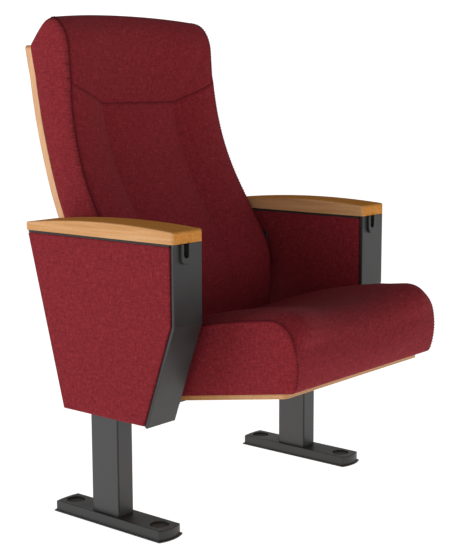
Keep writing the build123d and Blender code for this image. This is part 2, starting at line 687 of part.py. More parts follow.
def side_plate():
    """The seat's side plate: it hangs on the pin and carries the two cross tubes."""
    low = SIDE_PLATE_X
    high = SIDE_PLATE_X + SIDE_PLATE_THICKNESS
    reach = TUBE_SIZE / 2 + SIDE_PLATE_MARGIN
    bottom = -SEAT_BASE_DROP - TUBE_SIZE - SIDE_PLATE_MARGIN
    front = FRONT_TUBE_AT + reach
    rear = REAR_TUBE_AT - reach
    foot = [(rear, bottom), (front, bottom), (front, -SEAT_BASE_DROP)]
    corners = [(-SIDE_PLATE_R, 0), *foot, (SIDE_PLATE_R, 0)]
    plate = prism([seat_point(*corner) for corner in corners], low, high)
    plate += rod(*PIVOT, SIDE_PLATE_R, low, high)
    plate -= rod(*PIVOT, BUSH_R + BOLT_FIT / 2, low - 1, high + 1)
    plate -= stop_slot()
    return plate + rod(*spring_peg_place(), STOP_STUD_R, high, BRACKET_X - BOLT_END_GAP)


def spring_peg_place():
    """The peg on the side plate that the spring's moving leg pulls on, below the pivot."""
    return PIVOT_Y, PIVOT_Z - STOP_RADIUS


def return_spring():
    """A torsion spring round the boss: one leg bears on the stop stud, the other on the peg."""
    bearing = SPRING_R + SPRING_WIRE_R + STOP_STUD_R + SPRING_TOUCH
    leave = acos(bearing / STOP_RADIUS)
    leg = STOP_RADIUS * sin(leave) + SPRING_LEG_PAST
    turns = SPRING_WHOLE_TURNS + (1.5 * pi - 2 * leave) / (2 * pi)
    start_x = BRACKET_X - SPRING_WIRE_R - SPRING_END_GAP
    coil = Helix(SPRING_PITCH, SPRING_PITCH * turns, SPRING_R, lefthand=True)
    place = Plane(origin=(start_x, *PIVOT), z_dir=(-1, 0, 0), x_dir=(0, cos(leave), sin(leave)))
    path = place * coil
    first = Line((path @ 0) - (path % 0) * leg, path @ 0)
    last = Line(path @ 1, (path @ 1) + (path % 1) * leg)
    wire = Wire([first.edge(), path.edge(), last.edge()])
    section = Plane(origin=wire @ 0, z_dir=wire % 0) * Circle(SPRING_WIRE_R)
    return sweep(section, path=wire)


# ---- Seat -----------------------------------------------------------------------------------------

def seat_base():
    """The plywood board under the seat cushion, its front corners rounded."""
    half = CUSHION_X - PLY_SIDE_INSET
    low = -SEAT_BASE_DROP
    high = low + SEAT_BASE_THICKNESS
    corners = [(SEAT_BASE_REAR, low), (SEAT_BASE_FRONT, low), (SEAT_BASE_FRONT, high), (SEAT_BASE_REAR, high)]
    board = prism([seat_point(*corner) for corner in corners], -half, half)
    upright = [edge for edge in board.edges().sort_by(Axis.Y)[:4] if abs((edge % 0.5).X) < 0.5]
    board = fillet(upright, SEAT_BASE_CORNER_R)
    board = fillet(board.faces().sort_by(Axis.Z)[0].edges(), PLY_EDGE_R)
    for x, along in seat_bolt_places():
        board -= seat_bolt_shank(x, along, BOLT_FIT)
    return board


def seat_bolt_places():
    reach = CUSHION_X - SEAT_BOLT_INSET
    return [(x, along) for x in (-reach, reach) for along in (REAR_TUBE_AT, FRONT_TUBE_AT)]


def seat_bolt_shank(x, along, grow):
    """A bolt through a cross tube and on into the seat base, square to the seat."""
    tip = -SEAT_BASE_DROP + SEAT_BASE_THICKNESS - SCREW_COVER
    foot = -SEAT_BASE_DROP - TUBE_SIZE
    return seat_square_rod(x, along, SCREW_R + grow, foot, tip)


def seat_square_rod(x, along, radius, low, high):
    """A round bar square to the seat, between two heights above the pivot."""
    start = seat_point(along, low)
    tilt = radians(SEAT_TILT)
    place = Plane(origin=(x, *start), z_dir=(0, sin(tilt), cos(tilt)), x_dir=(1, 0, 0))
    return extrude(place * Circle(radius), amount=high - low)


def seat_bolts():
    """Pan-headed bolts that hold the seat base down on its two tubes."""
    foot = -SEAT_BASE_DROP - TUBE_SIZE
    made = []
    for x, along in seat_bolt_places():
        head = seat_square_rod(x, along, BOLT_HEAD_R, foot - SCREW_HEAD_HEIGHT, foot)
        made.append(head + seat_bolt_shank(x, along, 0))
    return Compound(children=made)


def cross_tube(along):
    """A square tube from side plate to side plate, under the seat base."""
    top = -SEAT_BASE_DROP

    def square(size, x_end):
        half = size / 2
        middle = top - TUBE_SIZE / 2
        corners = [(-half, -half), (half, -half), (half, half), (-half, half)]
        return prism([seat_point(along + s, middle + n) for s, n in corners], -x_end, x_end)

    tube = square(TUBE_SIZE, SIDE_PLATE_X) - square(TUBE_SIZE - 2 * TUBE_WALL, SIDE_PLATE_X + 1)
    for x, at in seat_bolt_places():
        if at == along:
            tube -= seat_bolt_shank(x, along, BOLT_FIT)
    return tube


def seat_section(x, rise, roll):
    """The cushion's outline in the plane x: rise lifts the top, and roll draws it in at the edges."""
    under = -SEAT_BASE_DROP + SEAT_BASE_THICKNESS + TOUCH_GAP
    reach = SEAT_NOSE_REACH - roll
    rear = SEAT_BASE_REAR - SEAT_REAR_OVERHANG
    lift = rise - roll
    rear_lift = rise / 2 - roll
    nose_low = (SEAT_BASE_FRONT + SEAT_NOSE_OVERHANG - roll / 2, under)
    nose_mid = (reach - SEAT_FACE_MID[0], SEAT_FACE_MID[1])
    nose = (reach, SEAT_NOSE_HEIGHT)
    roll_mid = (reach - SEAT_ROLL_MID[0], SEAT_ROLL_MID[1] + lift)
    front = (reach - SEAT_TOP_FRONT[0], SEAT_TOP_FRONT[1] + lift)
    middle = (SEAT_TOP_MIDDLE[0], SEAT_TOP_MIDDLE[1] + lift)
    back = (rear + SEAT_TOP_REAR[0], SEAT_TOP_REAR[1] + rear_lift)
    heel_mid = (rear + SEAT_HEEL_MID[0], SEAT_HEEL_MID[1] + rear_lift)
    heel = (rear, SEAT_HEEL_HEIGHT)

    def at(point):
        return seat_point(*point)

    edges = [
        yz_line(x, at((rear, under)), at(nose_low)),
        yz_arc(x, at(nose_low), at(nose_mid), at(nose)),
        yz_arc(x, at(nose), at(roll_mid), at(front)),
        yz_arc(x, at(front), at(middle), at(back)),
        yz_arc(x, at(back), at(heel_mid), at(heel)),
        yz_line(x, at(heel), at((rear, under))),
    ]
    return Wire(edges)


def seat_cushion():
    """Foam in a sewn cover: dished in the middle, rising to soft bolsters, rolled at the sides."""
    stations = [(-share, rise, roll) for share, rise, roll in reversed(SEAT_STATIONS[1:])]
    sections = []
    for share, rise, roll in stations + SEAT_STATIONS:
        sections.append(seat_section(share * CUSHION_X, rise * SEAT_BOLSTER_RISE, roll * SEAT_EDGE_ROLL))
    return Solid.make_loft(sections, ruled=True)


# ---- Back -----------------------------------------------------------------------------------------

def shell_bend(depth):
    """Centre and radius of the bent part of a curve that lies a depth in from the shell's rear face."""
    lean = radians(SHELL_LEAN)
    centre = (SHELL_BEND_Y - SHELL_BEND_R * cos(lean), SHELL_BEND_Z + SHELL_BEND_R * sin(lean))
    return centre, SHELL_BEND_R - depth


def shell_point(depth, lean):
    """A point on that bend, where the shell leans back by so many radians."""
    centre, radius = shell_bend(depth)
    return centre[0] + radius * cos(lean), centre[1] - radius * sin(lean)


def lean_at(z):
    """The shell's lean where its rear face reaches a height on the bend."""
    centre, radius = shell_bend(0)
    return asin((centre[1] - z) / radius)


def shell_foot(depth):
    """The bottom end of a curve at a depth, on the straight part."""
    lean = radians(SHELL_LEAN)
    start = shell_point(depth, lean)
    drop = start[1] - BACK_BOTTOM_Z
    return start[0] - drop * sin(lean) / cos(lean), BACK_BOTTOM_Z


def shell_curve(x, depth, high):
    """The edges of such a curve, from the bottom up to where it leans back by so many radians."""
    low = radians(SHELL_LEAN)
    start = shell_point(depth, low)
    return [
        yz_line(x, shell_foot(depth), start),
        yz_arc(x, start, shell_point(depth, (low + high) / 2), shell_point(depth, high)),
    ]


def back_outline(top_z, crown, corner_r):
    """The back as seen from the front: straight below, drawn in above, with a crowned top."""
    wide = BACK_HALF_WIDTH
    narrow = wide - BACK_TAPER
    low = BACK_BOTTOM_Z
    bend_z = low + BACK_TAPER_FROM
    shoulder_z = low + BACK_TAPER_TO
    waist = (wide - BACK_TAPER * 0.4, (bend_z + shoulder_z) / 2)
    edge_z = top_z - crown
    right = [
        Line((wide, low), (wide, bend_z)),
        ThreePointArc((wide, bend_z), waist, (narrow, shoulder_z)),
        Line((narrow, shoulder_z), (narrow, edge_z)),
    ]
    left = [
        Line((-narrow, edge_z), (-narrow, shoulder_z)),
        ThreePointArc((-narrow, shoulder_z), (-waist[0], waist[1]), (-wide, bend_z)),
        Line((-wide, bend_z), (-wide, low)),
    ]
    crest = ThreePointArc((narrow, edge_z), (0, top_z), (-narrow, edge_z))
    face = make_face([*right, crest, *left, Line((-wide, low), (wide, low))])
    corners = [v for v in face.vertices() if abs(v.Y - edge_z) < 0.01]
    face = fillet(corners, corner_r)
    place = Plane(origin=(0, 0, 0), z_dir=(0, -1, 0), x_dir=(1, 0, 0))
    return extrude(place * face, amount=500, both=True)


def back_shell():
    """Bent plywood: straight below, gently curved above, the same section all the way across."""
    x = -BACK_HALF_WIDTH - 1
    high = lean_at(BACK_SHELL_TOP_Z + SHELL_THICKNESS)
    rear = shell_curve(x, 0, high)
    front = shell_curve(x, SHELL_THICKNESS, high)
    edges = [
        *rear,
        yz_line(x, shell_point(0, high), shell_point(SHELL_THICKNESS, high)),
        *front,
        yz_line(x, shell_foot(SHELL_THICKNESS), shell_foot(0)),
    ]
    board = extrude(make_face(edges), amount=-2 * x, dir=(1, 0, 0))
    board = board & back_outline(BACK_SHELL_TOP_Z + SHELL_TOP_CROWN, SHELL_TOP_CROWN, SHELL_CORNER_R)
    for screw_x, z in shell_screw_places():
        board -= shell_screw_shank(screw_x, z, BOLT_FIT)
        board -= shell_screw_shank(-screw_x, z, BOLT_FIT)
    return board


def front_profile(dish):
    """Key points of the cushion's front face, for a given depth of dish."""
    points = {}
    for name, (back, above, share) in BACK_FRONT.items():
        points[name] = (LUMBAR_Y + back + share * dish, LUMBAR_TOP_Z + above)
    points["bottom"] = (points["lumbar"][0], BACK_BOTTOM_Z)
    points["crest"] = (LUMBAR_Y + BACK_CREST[0] + dish, BACK_TOP_Z - BACK_CREST[1])
    return points


def front_y(z, dish):
    """The front face's y at a height on the bend that leads up to the head."""
    points = front_profile(dish)
    (y1, z1), (y2, z2), (y3, z3) = points["bend"], points["bend_mid"], points["head"]
    twice = 2 * (y1 * (z2 - z3) + y2 * (z3 - z1) + y3 * (z1 - z2))
    squares = [y1 * y1 + z1 * z1, y2 * y2 + z2 * z2, y3 * y3 + z3 * z3]
    centre_y = (squares[0] * (z2 - z3) + squares[1] * (z3 - z1) + squares[2] * (z1 - z2)) / twice
    centre_z = (squares[0] * (y3 - y2) + squares[1] * (y1 - y3) + squares[2] * (y2 - y1)) / twice
    radius = hypot(y1 - centre_y, z1 - centre_z)
    return centre_y + sqrt(radius * radius - (z - centre_z) ** 2)


def back_section(x, dish, top_z):
    """The back cushion's outline in the plane x."""
    points = front_profile(dish)
    rear_depth = SHELL_THICKNESS + 2 * TOUCH_GAP
    high = lean_at(BACK_SHELL_TOP_Z)
    rear = shell_curve(x, rear_depth, high)
    rear_top = shell_point(rear_depth, high)
    rear_foot = shell_foot(rear_depth)
    crest = points["crest"]
    half = (rear_top[0] - crest[0]) / 2
    peak = (crest[0] + half, top_z)
    front_mid = (crest[0] + half * 0.29, crest[1] + (top_z - crest[1]) * 0.71)
    fall = top_z - rear_top[1]
    slant = hypot(half, fall)
    rear_mid = (
        (peak[0] + rear_top[0]) / 2 + BACK_REAR_BULGE * fall / slant,
        (peak[1] + rear_top[1]) / 2 + BACK_REAR_BULGE * half / slant,
    )
    edges = [
        *rear,
        yz_arc(x, rear_top, rear_mid, peak),
        yz_arc(x, peak, front_mid, crest),
        yz_line(x, crest, points["head"]),
        yz_arc(x, points["head"], points["bend_mid"], points["bend"]),
        yz_line(x, points["bend"], points["slope"]),
        yz_arc(x, points["slope"], points["lumbar_mid"], points["lumbar"]),
        yz_line(x, points["lumbar"], points["bottom"]),
        yz_line(x, points["bottom"], rear_foot),
    ]
    return Wire(edges)


def dish_at(x):
    """How far the front face lies behind its side edges, across the width."""
    if abs(x) <= CHANNEL_X:
        return DISH - CENTRE_CROWN * (1 - (x / CHANNEL_X) ** 2)
    share = min(1.0, (abs(x) - CHANNEL_X) / (CUSHION_X - CHANNEL_X))
    return DISH * (1 - sin(share * pi / 2)) - BOLSTER_SWELL * sin(share * pi)


def seam_cutter():
    """A shallow V groove: level between the channels, rising to the side edges."""
    edge_x = BACK_HALF_WIDTH + 1
    bolster_x = (CHANNEL_X + edge_x) / 2
    wires = []
    half = [CHANNEL_X / 2, CHANNEL_X, bolster_x, edge_x]
    for x in [-x for x in reversed(half)] + [0, *half]:
        rise = max(0.0, (abs(x) - CHANNEL_X) / (BACK_HALF_WIDTH - BACK_TAPER - CHANNEL_X))
        z = SEAM_MIDDLE_Z + rise * (SEAM_SIDE_Z - SEAM_MIDDLE_Z)
        y = front_y(z, dish_at(x))
        clear = y - 2 * SEAM_DEPTH
        spread = 3 * SEAM_HALF_WIDTH
        corners = [(clear, z + spread), (y + SEAM_DEPTH, z), (clear, z - spread)]
        wires.append(Wire.make_polygon([(x, *corner) for corner in corners], close=True))
    return Solid.make_loft(wires, ruled=True)


def back_cushion():
    """Foam in a sewn cover on the shell's front: two channels, a dished middle and a rounded top."""
    step = (BACK_HALF_WIDTH + 1 - CHANNEL_X) / BOLSTER_STEPS
    outer = [CHANNEL_X + step * (i + 1) for i in range(BOLSTER_STEPS)]
    middle = [CHANNEL_X * share for share in (-1, -0.5, 0, 0.5, 1)]
    positions = [-x for x in reversed(outer)] + middle + outer
    sections = []
    for x in positions:
        top_z = BACK_TOP_Z - BACK_TOP_CROWN * (x / BACK_HALF_WIDTH) ** 2
        sections.append(back_section(x, dish_at(x), top_z))
    body = Solid.make_loft(sections, ruled=True) - seam_cutter()
    return body & back_outline(BACK_TOP_Z + 1, BACK_TOP_CROWN, BACK_CORNER_R)


def shell_screw_places():
    """Three screws a side, through the back bracket's flange into the shell."""
    x = ARM_INNER_X - BACK_FLANGE_WIDTH + SCREW_EDGE
    rise = BACK_BRACKET_HEIGHT / 2 - SCREW_EDGE
    return [(x, BACK_BAR_Z + dz) for dz in (-rise, 0, rise)]


def shell_screw_shank(x, z, grow):
    """A screw square to the shell's straight part, from its rear face into the wood."""
    tip = SCREW_COVER - SHELL_THICKNESS
    return shell_square_rod(x, z, SCREW_R + grow, BRACKET_THICKNESS + TOUCH_GAP, tip)


def shell_square_rod(x, z, radius, behind, ahead):
    """A round bar square to the shell: behind is measured back from its rear face."""
    lean = radians(SHELL_LEAN)
    y = y_at(z, shell_foot(0), shell_point(0, lean))
    start = (x, y + behind * cos(lean), z - behind * sin(lean))
    place = Plane(origin=start, z_dir=(0, -cos(lean), sin(lean)), x_dir=(1, 0, 0))
    return extrude(place * Circle(radius), amount=behind - ahead)


def back_bracket():
    """A steel angle: one leg on the arm's inner side, the other behind the shell."""
    lean = radians(SHELL_LEAN)
    low_z = BACK_BAR_Z - BACK_BRACKET_HEIGHT / 2
    high_z = BACK_BAR_Z + BACK_BRACKET_HEIGHT / 2
    foot = shell_foot(0)
    bend = shell_point(0, lean)
    gap = TOUCH_GAP / cos(lean)
    depth = (TOUCH_GAP + BRACKET_THICKNESS) / cos(lean)
    rear_low = y_at(low_z, foot, bend)
    rear_high = y_at(high_z, foot, bend)
    outside = [(rear_low + depth, low_z), (rear_high + depth, high_z)]
    inside = [(rear_high + gap, high_z), (rear_low + gap, low_z)]
    upright = [(BACK_BRACKET_FRONT_Y, high_z), (BACK_BRACKET_FRONT_Y, low_z)]
    flange = prism(outside + inside, ARM_INNER_X - BACK_FLANGE_WIDTH, ARM_INNER_X)
    leg = prism(outside + upright, BRACKET_X, ARM_INNER_X)
    bracket = flange + leg
    for y, z in back_bolt_places():
        bracket -= rod(y, z, BOLT_R + BOLT_FIT, BRACKET_X - 1, ARM_INNER_X + 1)
    for x, z in shell_screw_places():
        bracket -= shell_screw_shank(x, z, BOLT_FIT)
    return bracket


def back_bolts():
    return bolts(back_bolt_places(), BRACKET_X, COLUMN_INNER_X - BOLT_END_GAP)


def shell_screws():
    """Screws through one back bracket into the shell."""
    made = []
    for x, z in shell_screw_places():
        behind = BRACKET_THICKNESS + TOUCH_GAP
        head = shell_square_rod(x, z, BOLT_HEAD_R, behind + SCREW_HEAD_HEIGHT, behind)
        made.append(head + shell_screw_shank(x, z, 0))
    return Compound(children=made)


# ---- Writing the pieces ---------------------------------------------------------------------------

HANDED_PIECES = {
    "base_plate": base_plate,
    "foot_cover": foot_cover,
    "foot_plugs": foot_plugs,
    "column": column,
    "column_top_plate": column_top_plate,
    "mount_bars": mount_bars,
    "arm_frame": arm_frame,
    "outer_panel": outer_panel,
    "inner_panel": inner_panel,
    "rear_trim": rear_trim,
    "bottom_trim": bottom_trim,
    "cap_carrier": cap_carrier,
    "arm_cap": arm_cap,
    "cap_screws": cap_screws,
    "pivot_bracket": pivot_bracket,
    "pivot_bolts": pivot_bolts,
    "pivot_pin": pivot_pin,
    "pivot_bush": pivot_bush,
    "stop_buffer": stop_buffer,
    "return_spring": return_spring,
    "side_plate": side_plate,
    "back_bracket": back_bracket,
    "back_bolts": back_bolts,
    "shell_screws": shell_screws,
}

# The slot lies to the same side on both arms, so these two are made at each arm, not mirrored.
ARM_FRONTS = {"front_fascia": front_fascia, "slot_bezel": slot_bezel}

SINGLE_PIECES = {
    "seat_base": seat_base,
    "seat_front_tube": lambda: cross_tube(FRONT_TUBE_AT),
    "seat_rear_tube": lambda: cross_tube(REAR_TUBE_AT),
    "seat_bolts": seat_bolts,
    "seat_cushion": seat_cushion,
    "back_shell": back_shell,
    "back_cushion": back_cushion,
}


def write(name, shape):
    export_step(shape, f"parts/{name}.step")


def main():
    os.makedirs("parts", exist_ok=True)
    for name, make in HANDED_PIECES.items():
        piece = make()
        write(f"{name}_right", piece)
        write(f"{name}_left", other_side(piece))
    for name, make in ARM_FRONTS.items():
        write(f"{name}_right", make(ARM_X))
        write(f"{name}_left", make(-ARM_X))
    for name, make in SINGLE_PIECES.items():
        write(name, make())


main()
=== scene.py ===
# A tip-up auditorium seat: two box arms on steel columns, a bent plywood back with a sewn cushion,
# and a padded seat that tips up between the arms. All lengths are metres in the chair's own frame:
# floor level at z 0, the sitter faces -Y, and "left" is the -X side.
import math

import bmesh
import bpy
import numpy as np
from mathutils import Matrix, Vector


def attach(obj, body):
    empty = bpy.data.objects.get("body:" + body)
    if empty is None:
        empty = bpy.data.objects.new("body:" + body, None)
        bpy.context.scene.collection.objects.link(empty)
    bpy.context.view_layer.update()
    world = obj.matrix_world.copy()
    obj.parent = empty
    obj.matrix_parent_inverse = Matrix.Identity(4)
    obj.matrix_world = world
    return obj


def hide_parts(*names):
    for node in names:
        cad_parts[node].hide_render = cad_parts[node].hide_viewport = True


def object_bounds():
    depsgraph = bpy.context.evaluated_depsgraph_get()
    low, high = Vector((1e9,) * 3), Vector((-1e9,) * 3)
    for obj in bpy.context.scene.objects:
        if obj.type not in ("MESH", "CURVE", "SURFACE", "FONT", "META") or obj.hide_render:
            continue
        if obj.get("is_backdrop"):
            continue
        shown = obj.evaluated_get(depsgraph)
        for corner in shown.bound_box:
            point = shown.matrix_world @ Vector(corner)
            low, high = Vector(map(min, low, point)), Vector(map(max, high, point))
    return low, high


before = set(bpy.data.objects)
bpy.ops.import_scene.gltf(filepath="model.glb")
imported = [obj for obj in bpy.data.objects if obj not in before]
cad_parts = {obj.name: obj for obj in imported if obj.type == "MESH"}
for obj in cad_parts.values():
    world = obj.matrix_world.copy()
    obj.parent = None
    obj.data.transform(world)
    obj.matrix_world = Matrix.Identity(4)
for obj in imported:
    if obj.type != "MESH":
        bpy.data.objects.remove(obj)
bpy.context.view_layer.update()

scene = bpy.context.scene


# ---- Feet -----------------------------------------------------------------------------------------
# Each foot is a steel plate under a moulded plastic cover with bowed ends and a thin flared lip.
# Two pressed-in plugs close the round recesses over the floor anchors.

def linear(code):
    """A colour's linear values from its sRGB hex code."""
    parts = [int(code[i:i + 2], 16) / 255 for i in (1, 3, 5)]
    return [p / 12.92 if p <= 0.04045 else ((p + 0.055) / 1.055) ** 2.4 for p in parts] + [1.0]


def feed(node, sockets):
    """Sets a node's sockets, or links them to another node's. A colour may be given as its hex code."""
    for key, value in sockets.items():
        if isinstance(value, bpy.types.NodeSocket):
            node.id_data.links.new(value, node.inputs[key])
        else:
            coded = isinstance(value, str) and value.startswith("#")
            node.inputs[key].default_value = linear(value) if coded else value


def add(tree, kind, sockets=None, stops=(), **settings):
    """Adds a node with its settings, its sockets' values or links, and a colour ramp's stops."""
    node = tree.nodes.new(kind)
    for name, value in settings.items():
        setattr(node, name, value)
    feed(node, sockets or {})
    if stops:
        ramp = node.color_ramp
        while len(ramp.elements) < len(stops):
            ramp.elements.new(0.5)
        for element, (at, colour) in zip(ramp.elements, stops):
            element.position = at
            element.color = linear(colour) if isinstance(colour, str) else [colour] * 3 + [1.0]
    return node


def noise(vector, scale, detail, roughness=0.5, distortion=0.0, dimensions="3D"):
    """Noise at a place, by its scale and its octaves of detail."""
    sockets = {"Vector": vector, "Scale": scale, "Detail": detail, "Roughness": roughness,
               "Distortion": distortion}
    return add(vector.id_data, "ShaderNodeTexNoise", sockets,
        noise_dimensions=dimensions).outputs[0]


def ramp(value, *stops):
    """The colour at a value, between stops that each give a position and a colour or a grey."""
    return add(value.id_data, "ShaderNodeValToRGB", {0: value}, stops).outputs[0]


def remap(value, low, high, to_low=0.0, to_high=1.0):
    """A value's place between low and high, carried over to the same place in another range."""
    sockets = {0: value, 1: low, 2: high, 3: to_low, 4: to_high}
    return add(value.id_data, "ShaderNodeMapRange", sockets).outputs[0]


def value_op(operation, *values):
    """A calculation on one or two numbers."""
    tree = next(v.id_data for v in values if isinstance(v, bpy.types.NodeSocket))
    return add(tree, "ShaderNodeMath", dict(enumerate(values)), operation=operation).outputs[0]


def vector_op(operation, *values):
    """A calculation on a vector, with a second vector or a factor where it takes one."""
    keys = (0, "Scale" if operation == "SCALE" else 1)
    node = add(values[0].id_data, "ShaderNodeVectorMath", dict(zip(keys, values)),
        operation=operation)
    return node.outputs["Value" if operation in ("DOT_PRODUCT", "LENGTH") else "Vector"]


def split(vector):
    """A vector's X, Y and Z."""
    return add(vector.id_data, "ShaderNodeSeparateXYZ", {0: vector}).outputs


def mix(share, under, over, blend="MIX"):
    """One colour over another, by a share."""
    sockets = {0: share, 6: under, 7: over}
    return add(under.id_data, "ShaderNodeMix", sockets, data_type="RGBA",
        blend_type=blend).outputs[2]


def relief(height, strength, distance, normal=None):
    """Surface relief from a pattern, on top of another one's normal where that is given."""
    sockets = {"Strength": strength, "Distance": distance, "Height": height}
    if normal is not None:
        sockets["Normal"] = normal
    return add(height.id_data, "ShaderNodeBump", sockets).outputs[0]


def plain(shader, pattern, low, high, dull=None, bumps=None, more=None):
    """A surface whose colour follows one pattern, as do its dullness and relief where they are given."""
    sockets = {"Base Color": ramp(pattern, low, high)}
    if dull:
        sockets["Roughness"] = remap(pattern, 0.0, 1.0, *dull)
    if bumps:
        sockets["Normal"] = relief(pattern, *bumps)
    feed(shader, sockets | (more or {}))


def new_finish(name):
    """An empty material with its shader, and the surface's own coordinates."""
    material = bpy.data.materials.new(name)
    material.use_nodes = True
    tree = material.node_tree
    tree.nodes.clear()
    shader = add(tree, "ShaderNodeBsdfPrincipled")
    add(tree, "ShaderNodeOutputMaterial", {"Surface": shader.outputs[0]})
    place = add(tree, "ShaderNodeTexCoord").outputs["Object"]
    return material, shader, place


def link_piece(name, data):
    """A new object in the scene for a mesh, a light or a camera."""
    piece = bpy.data.objects.new(name, data)
    scene.collection.objects.link(piece)
    return piece


def finished(piece):
    """The piece as its modifiers leave it."""
    return piece.evaluated_get(bpy.context.evaluated_depsgraph_get())


def clamp(share):
    """A share held between 0 and 1."""
    return min(max(share, 0.0), 1.0)


def coat(material, *names):
    """Gives CAD nodes their finish, on both sides of the chair where a name has no side."""
    for name in names:
        for node in (name, name + "_left", name + "_right"):
            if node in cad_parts:
                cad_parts[node].data.materials[0] = material


# Moulded polypropylene with a spark-eroded grain: a dull dark grey, a little greyer on rubbed edges, and
# darker towards the floor. The real grain is about 0.3 mm and is drawn at 1.2 mm so that it shows.
MOULD_GRAIN = 0.0012
moulded_plastic, shader, place = new_finish("spark_grained_polypropylene")
grain = noise(place, 1 / MOULD_GRAIN, 3.0)
flow = noise(place, 14.0, 4.0)
body = ramp(flow, (0.3, "#262625"), (0.7, "#2f2e2d"))
fleck = ramp(grain, (0.35, 0.86), (0.65, 1.0))
grained = mix(1.0, body, fleck, "MULTIPLY")
height = split(place)["Z"]
darker_near_floor = remap(height, 0.04, 0.25, 0.80, 1.06)
speckled = vector_op("SCALE", grained, darker_near_floor)
rounded = add(shader.id_data, "ShaderNodeBevel", {"Radius": 0.0018}, samples=4).outputs[0]
normal = add(shader.id_data, "ShaderNodeNewGeometry").outputs["Normal"]
square = vector_op("DOT_PRODUCT", rounded, normal)
rub = remap(square, 0.99, 0.80, 0.0, 0.12)
worn = mix(rub, speckled, "#6b6967")
dull = remap(flow, 0.3, 0.7, 0.42, 0.54)
bump = relief(grain, 0.22, 0.0004, rounded)
feed(shader, {"Base Color": worn, "Roughness": dull, "Normal": bump, "IOR": 1.49})
coat(moulded_plastic, "foot_cover")

# The plugs are a softer, browner plastic with a matt face and concentric turning marks 1.5 mm apart.
PLUG_RINGS = 0.0015
ANCHOR_Y = 0.118
ARM_X = 0.310
plug_plastic, shader, place = new_finish("matt_moulded_plug_plastic")
apart = vector_op("ABSOLUTE", place)
centred = vector_op("SUBTRACT", apart, (ARM_X, ANCHOR_Y, 0.0))
flat = vector_op("MULTIPLY", centred, (1.0, 1.0, 0.0))
reach = vector_op("LENGTH", flat)
turns = value_op("PINGPONG", reach, PLUG_RINGS / 2)
ridge = remap(turns, 0.0, PLUG_RINGS / 2)
dust = noise(place, 120.0, 5.0)
body = ramp(dust, (0.3, "#28221e"), (0.75, "#3a332d"))
bump = relief(ridge, 0.35, 0.0003)
dull = remap(dust, 0.0, 1.0, 0.55, 0.7)
feed(shader, {"Base Color": body, "Roughness": dull, "Normal": bump, "IOR": 1.49})
coat(plug_plastic, "foot_plugs")


# ---- Columns --------------------------------------------------------------------------------------
# Rectangular steel tubes, welded to the base plates below and to a plate and two bars inside the arm.
# All are powder coated together.

# Dark grey polyester powder coat on mild steel: satin, with an orange peel of about 1.5 mm. Along the
# tight bends at the corners it is painted nearly black: painted shade for the dark reflection there.
PEEL = 0.0015
powder_coat, shader, place = new_finish("satin_powder_coated_steel")
peel = noise(place, 1 / PEEL, 1.0)
cloud = noise(place, 8.0, 5.0)
body = ramp(cloud, (0.3, "#303030"), (0.7, "#363636"))
rounded = add(shader.id_data, "ShaderNodeBevel", {"Radius": 0.0012}, samples=4).outputs[0]
facing = add(shader.id_data, "ShaderNodeTexCoord").outputs["Normal"]
apart = vector_op("ABSOLUTE", facing)
sides = split(apart)
# painted shade: where the surface turns round a corner it is darkened to a near-black line
cornered = value_op("MINIMUM", sides["X"], sides["Y"])
drawn = remap(cornered, 0.06, 0.30)
corner_shaded_coat = mix(drawn, body, "#0b0b0b")
sheen = remap(cloud, 0.3, 0.7, 0.36, 0.48)
bump = relief(peel, 0.2, 0.0003, rounded)
feed(shader, {"Base Color": corner_shaded_coat, "Roughness": sheen, "Normal": bump})
coat(powder_coat, "base_plate", "column", "column_top_plate", "mount_bars")


# ---- Arm boxes ------------------------------------------------------------------------------------
# A glued plywood frame stands round each column. Its near-black colour is painted shade, so that it stays
# dark where it shows through the slot in front.

# Birch plywood, near black as painted shade: dry, with 1.4 mm veneers that vary in tone across the
# thickness.
VENEER = 0.0014
slot_shade_ply, shader, place = new_finish("birch_plywood_painted_slot_shade")
layers = vector_op("DOT_PRODUCT", place, (1 / VENEER, 0.0, 0.0))
stripe = value_op("PINGPONG", layers, 1.0)
fibre = vector_op("MULTIPLY", place, (900.0, 60.0, 60.0))
fibres = noise(fibre, 1.0, 4.0)
shade = value_op("MULTIPLY", stripe, fibres)
# painted shade: near black, so that the slot in front reads dark
body = ramp(shade, (0.1, "#17130f"), (0.6, "#0c0a08"))
bump = relief(fibres, 0.3, 0.0003)
feed(shader, {"Base Color": body, "Normal": bump, "Roughness": 0.8})
coat(slot_shade_ply, "arm_frame")


# ---- Arm panels -----------------------------------------------------------------------------------
# Boards with thin wadding under the same cloth as the cushions, pulled tight and stapled behind, so that
# their faces swell a little and their edges are rounded. One closes each side of each arm box.
ARM_OUTLINE = [(0.200, 0.579), (-0.188, 0.579), (-0.188, 0.4305), (-0.116, 0.2275), (0.106, 0.2275)]
ARM_HALF_WIDTH = 0.040
PANEL_THICKNESS = 0.010
PANEL_EDGE_R = 0.0030
PANEL_CORNER_R = 0.0045
PANEL_SWELL = 0.0014
PANEL_SOFTNESS = 0.028       # how far in from the edge the swell is nearly full
PANEL_GRID = 0.012
PANEL_RINGS = (0.0, 0.0003, 0.0010, 0.0020, PANEL_EDGE_R)    # rows of the edge's rounding, inward
CORNER_STEPS, LEAST_CORNER_R = 5, 0.0004

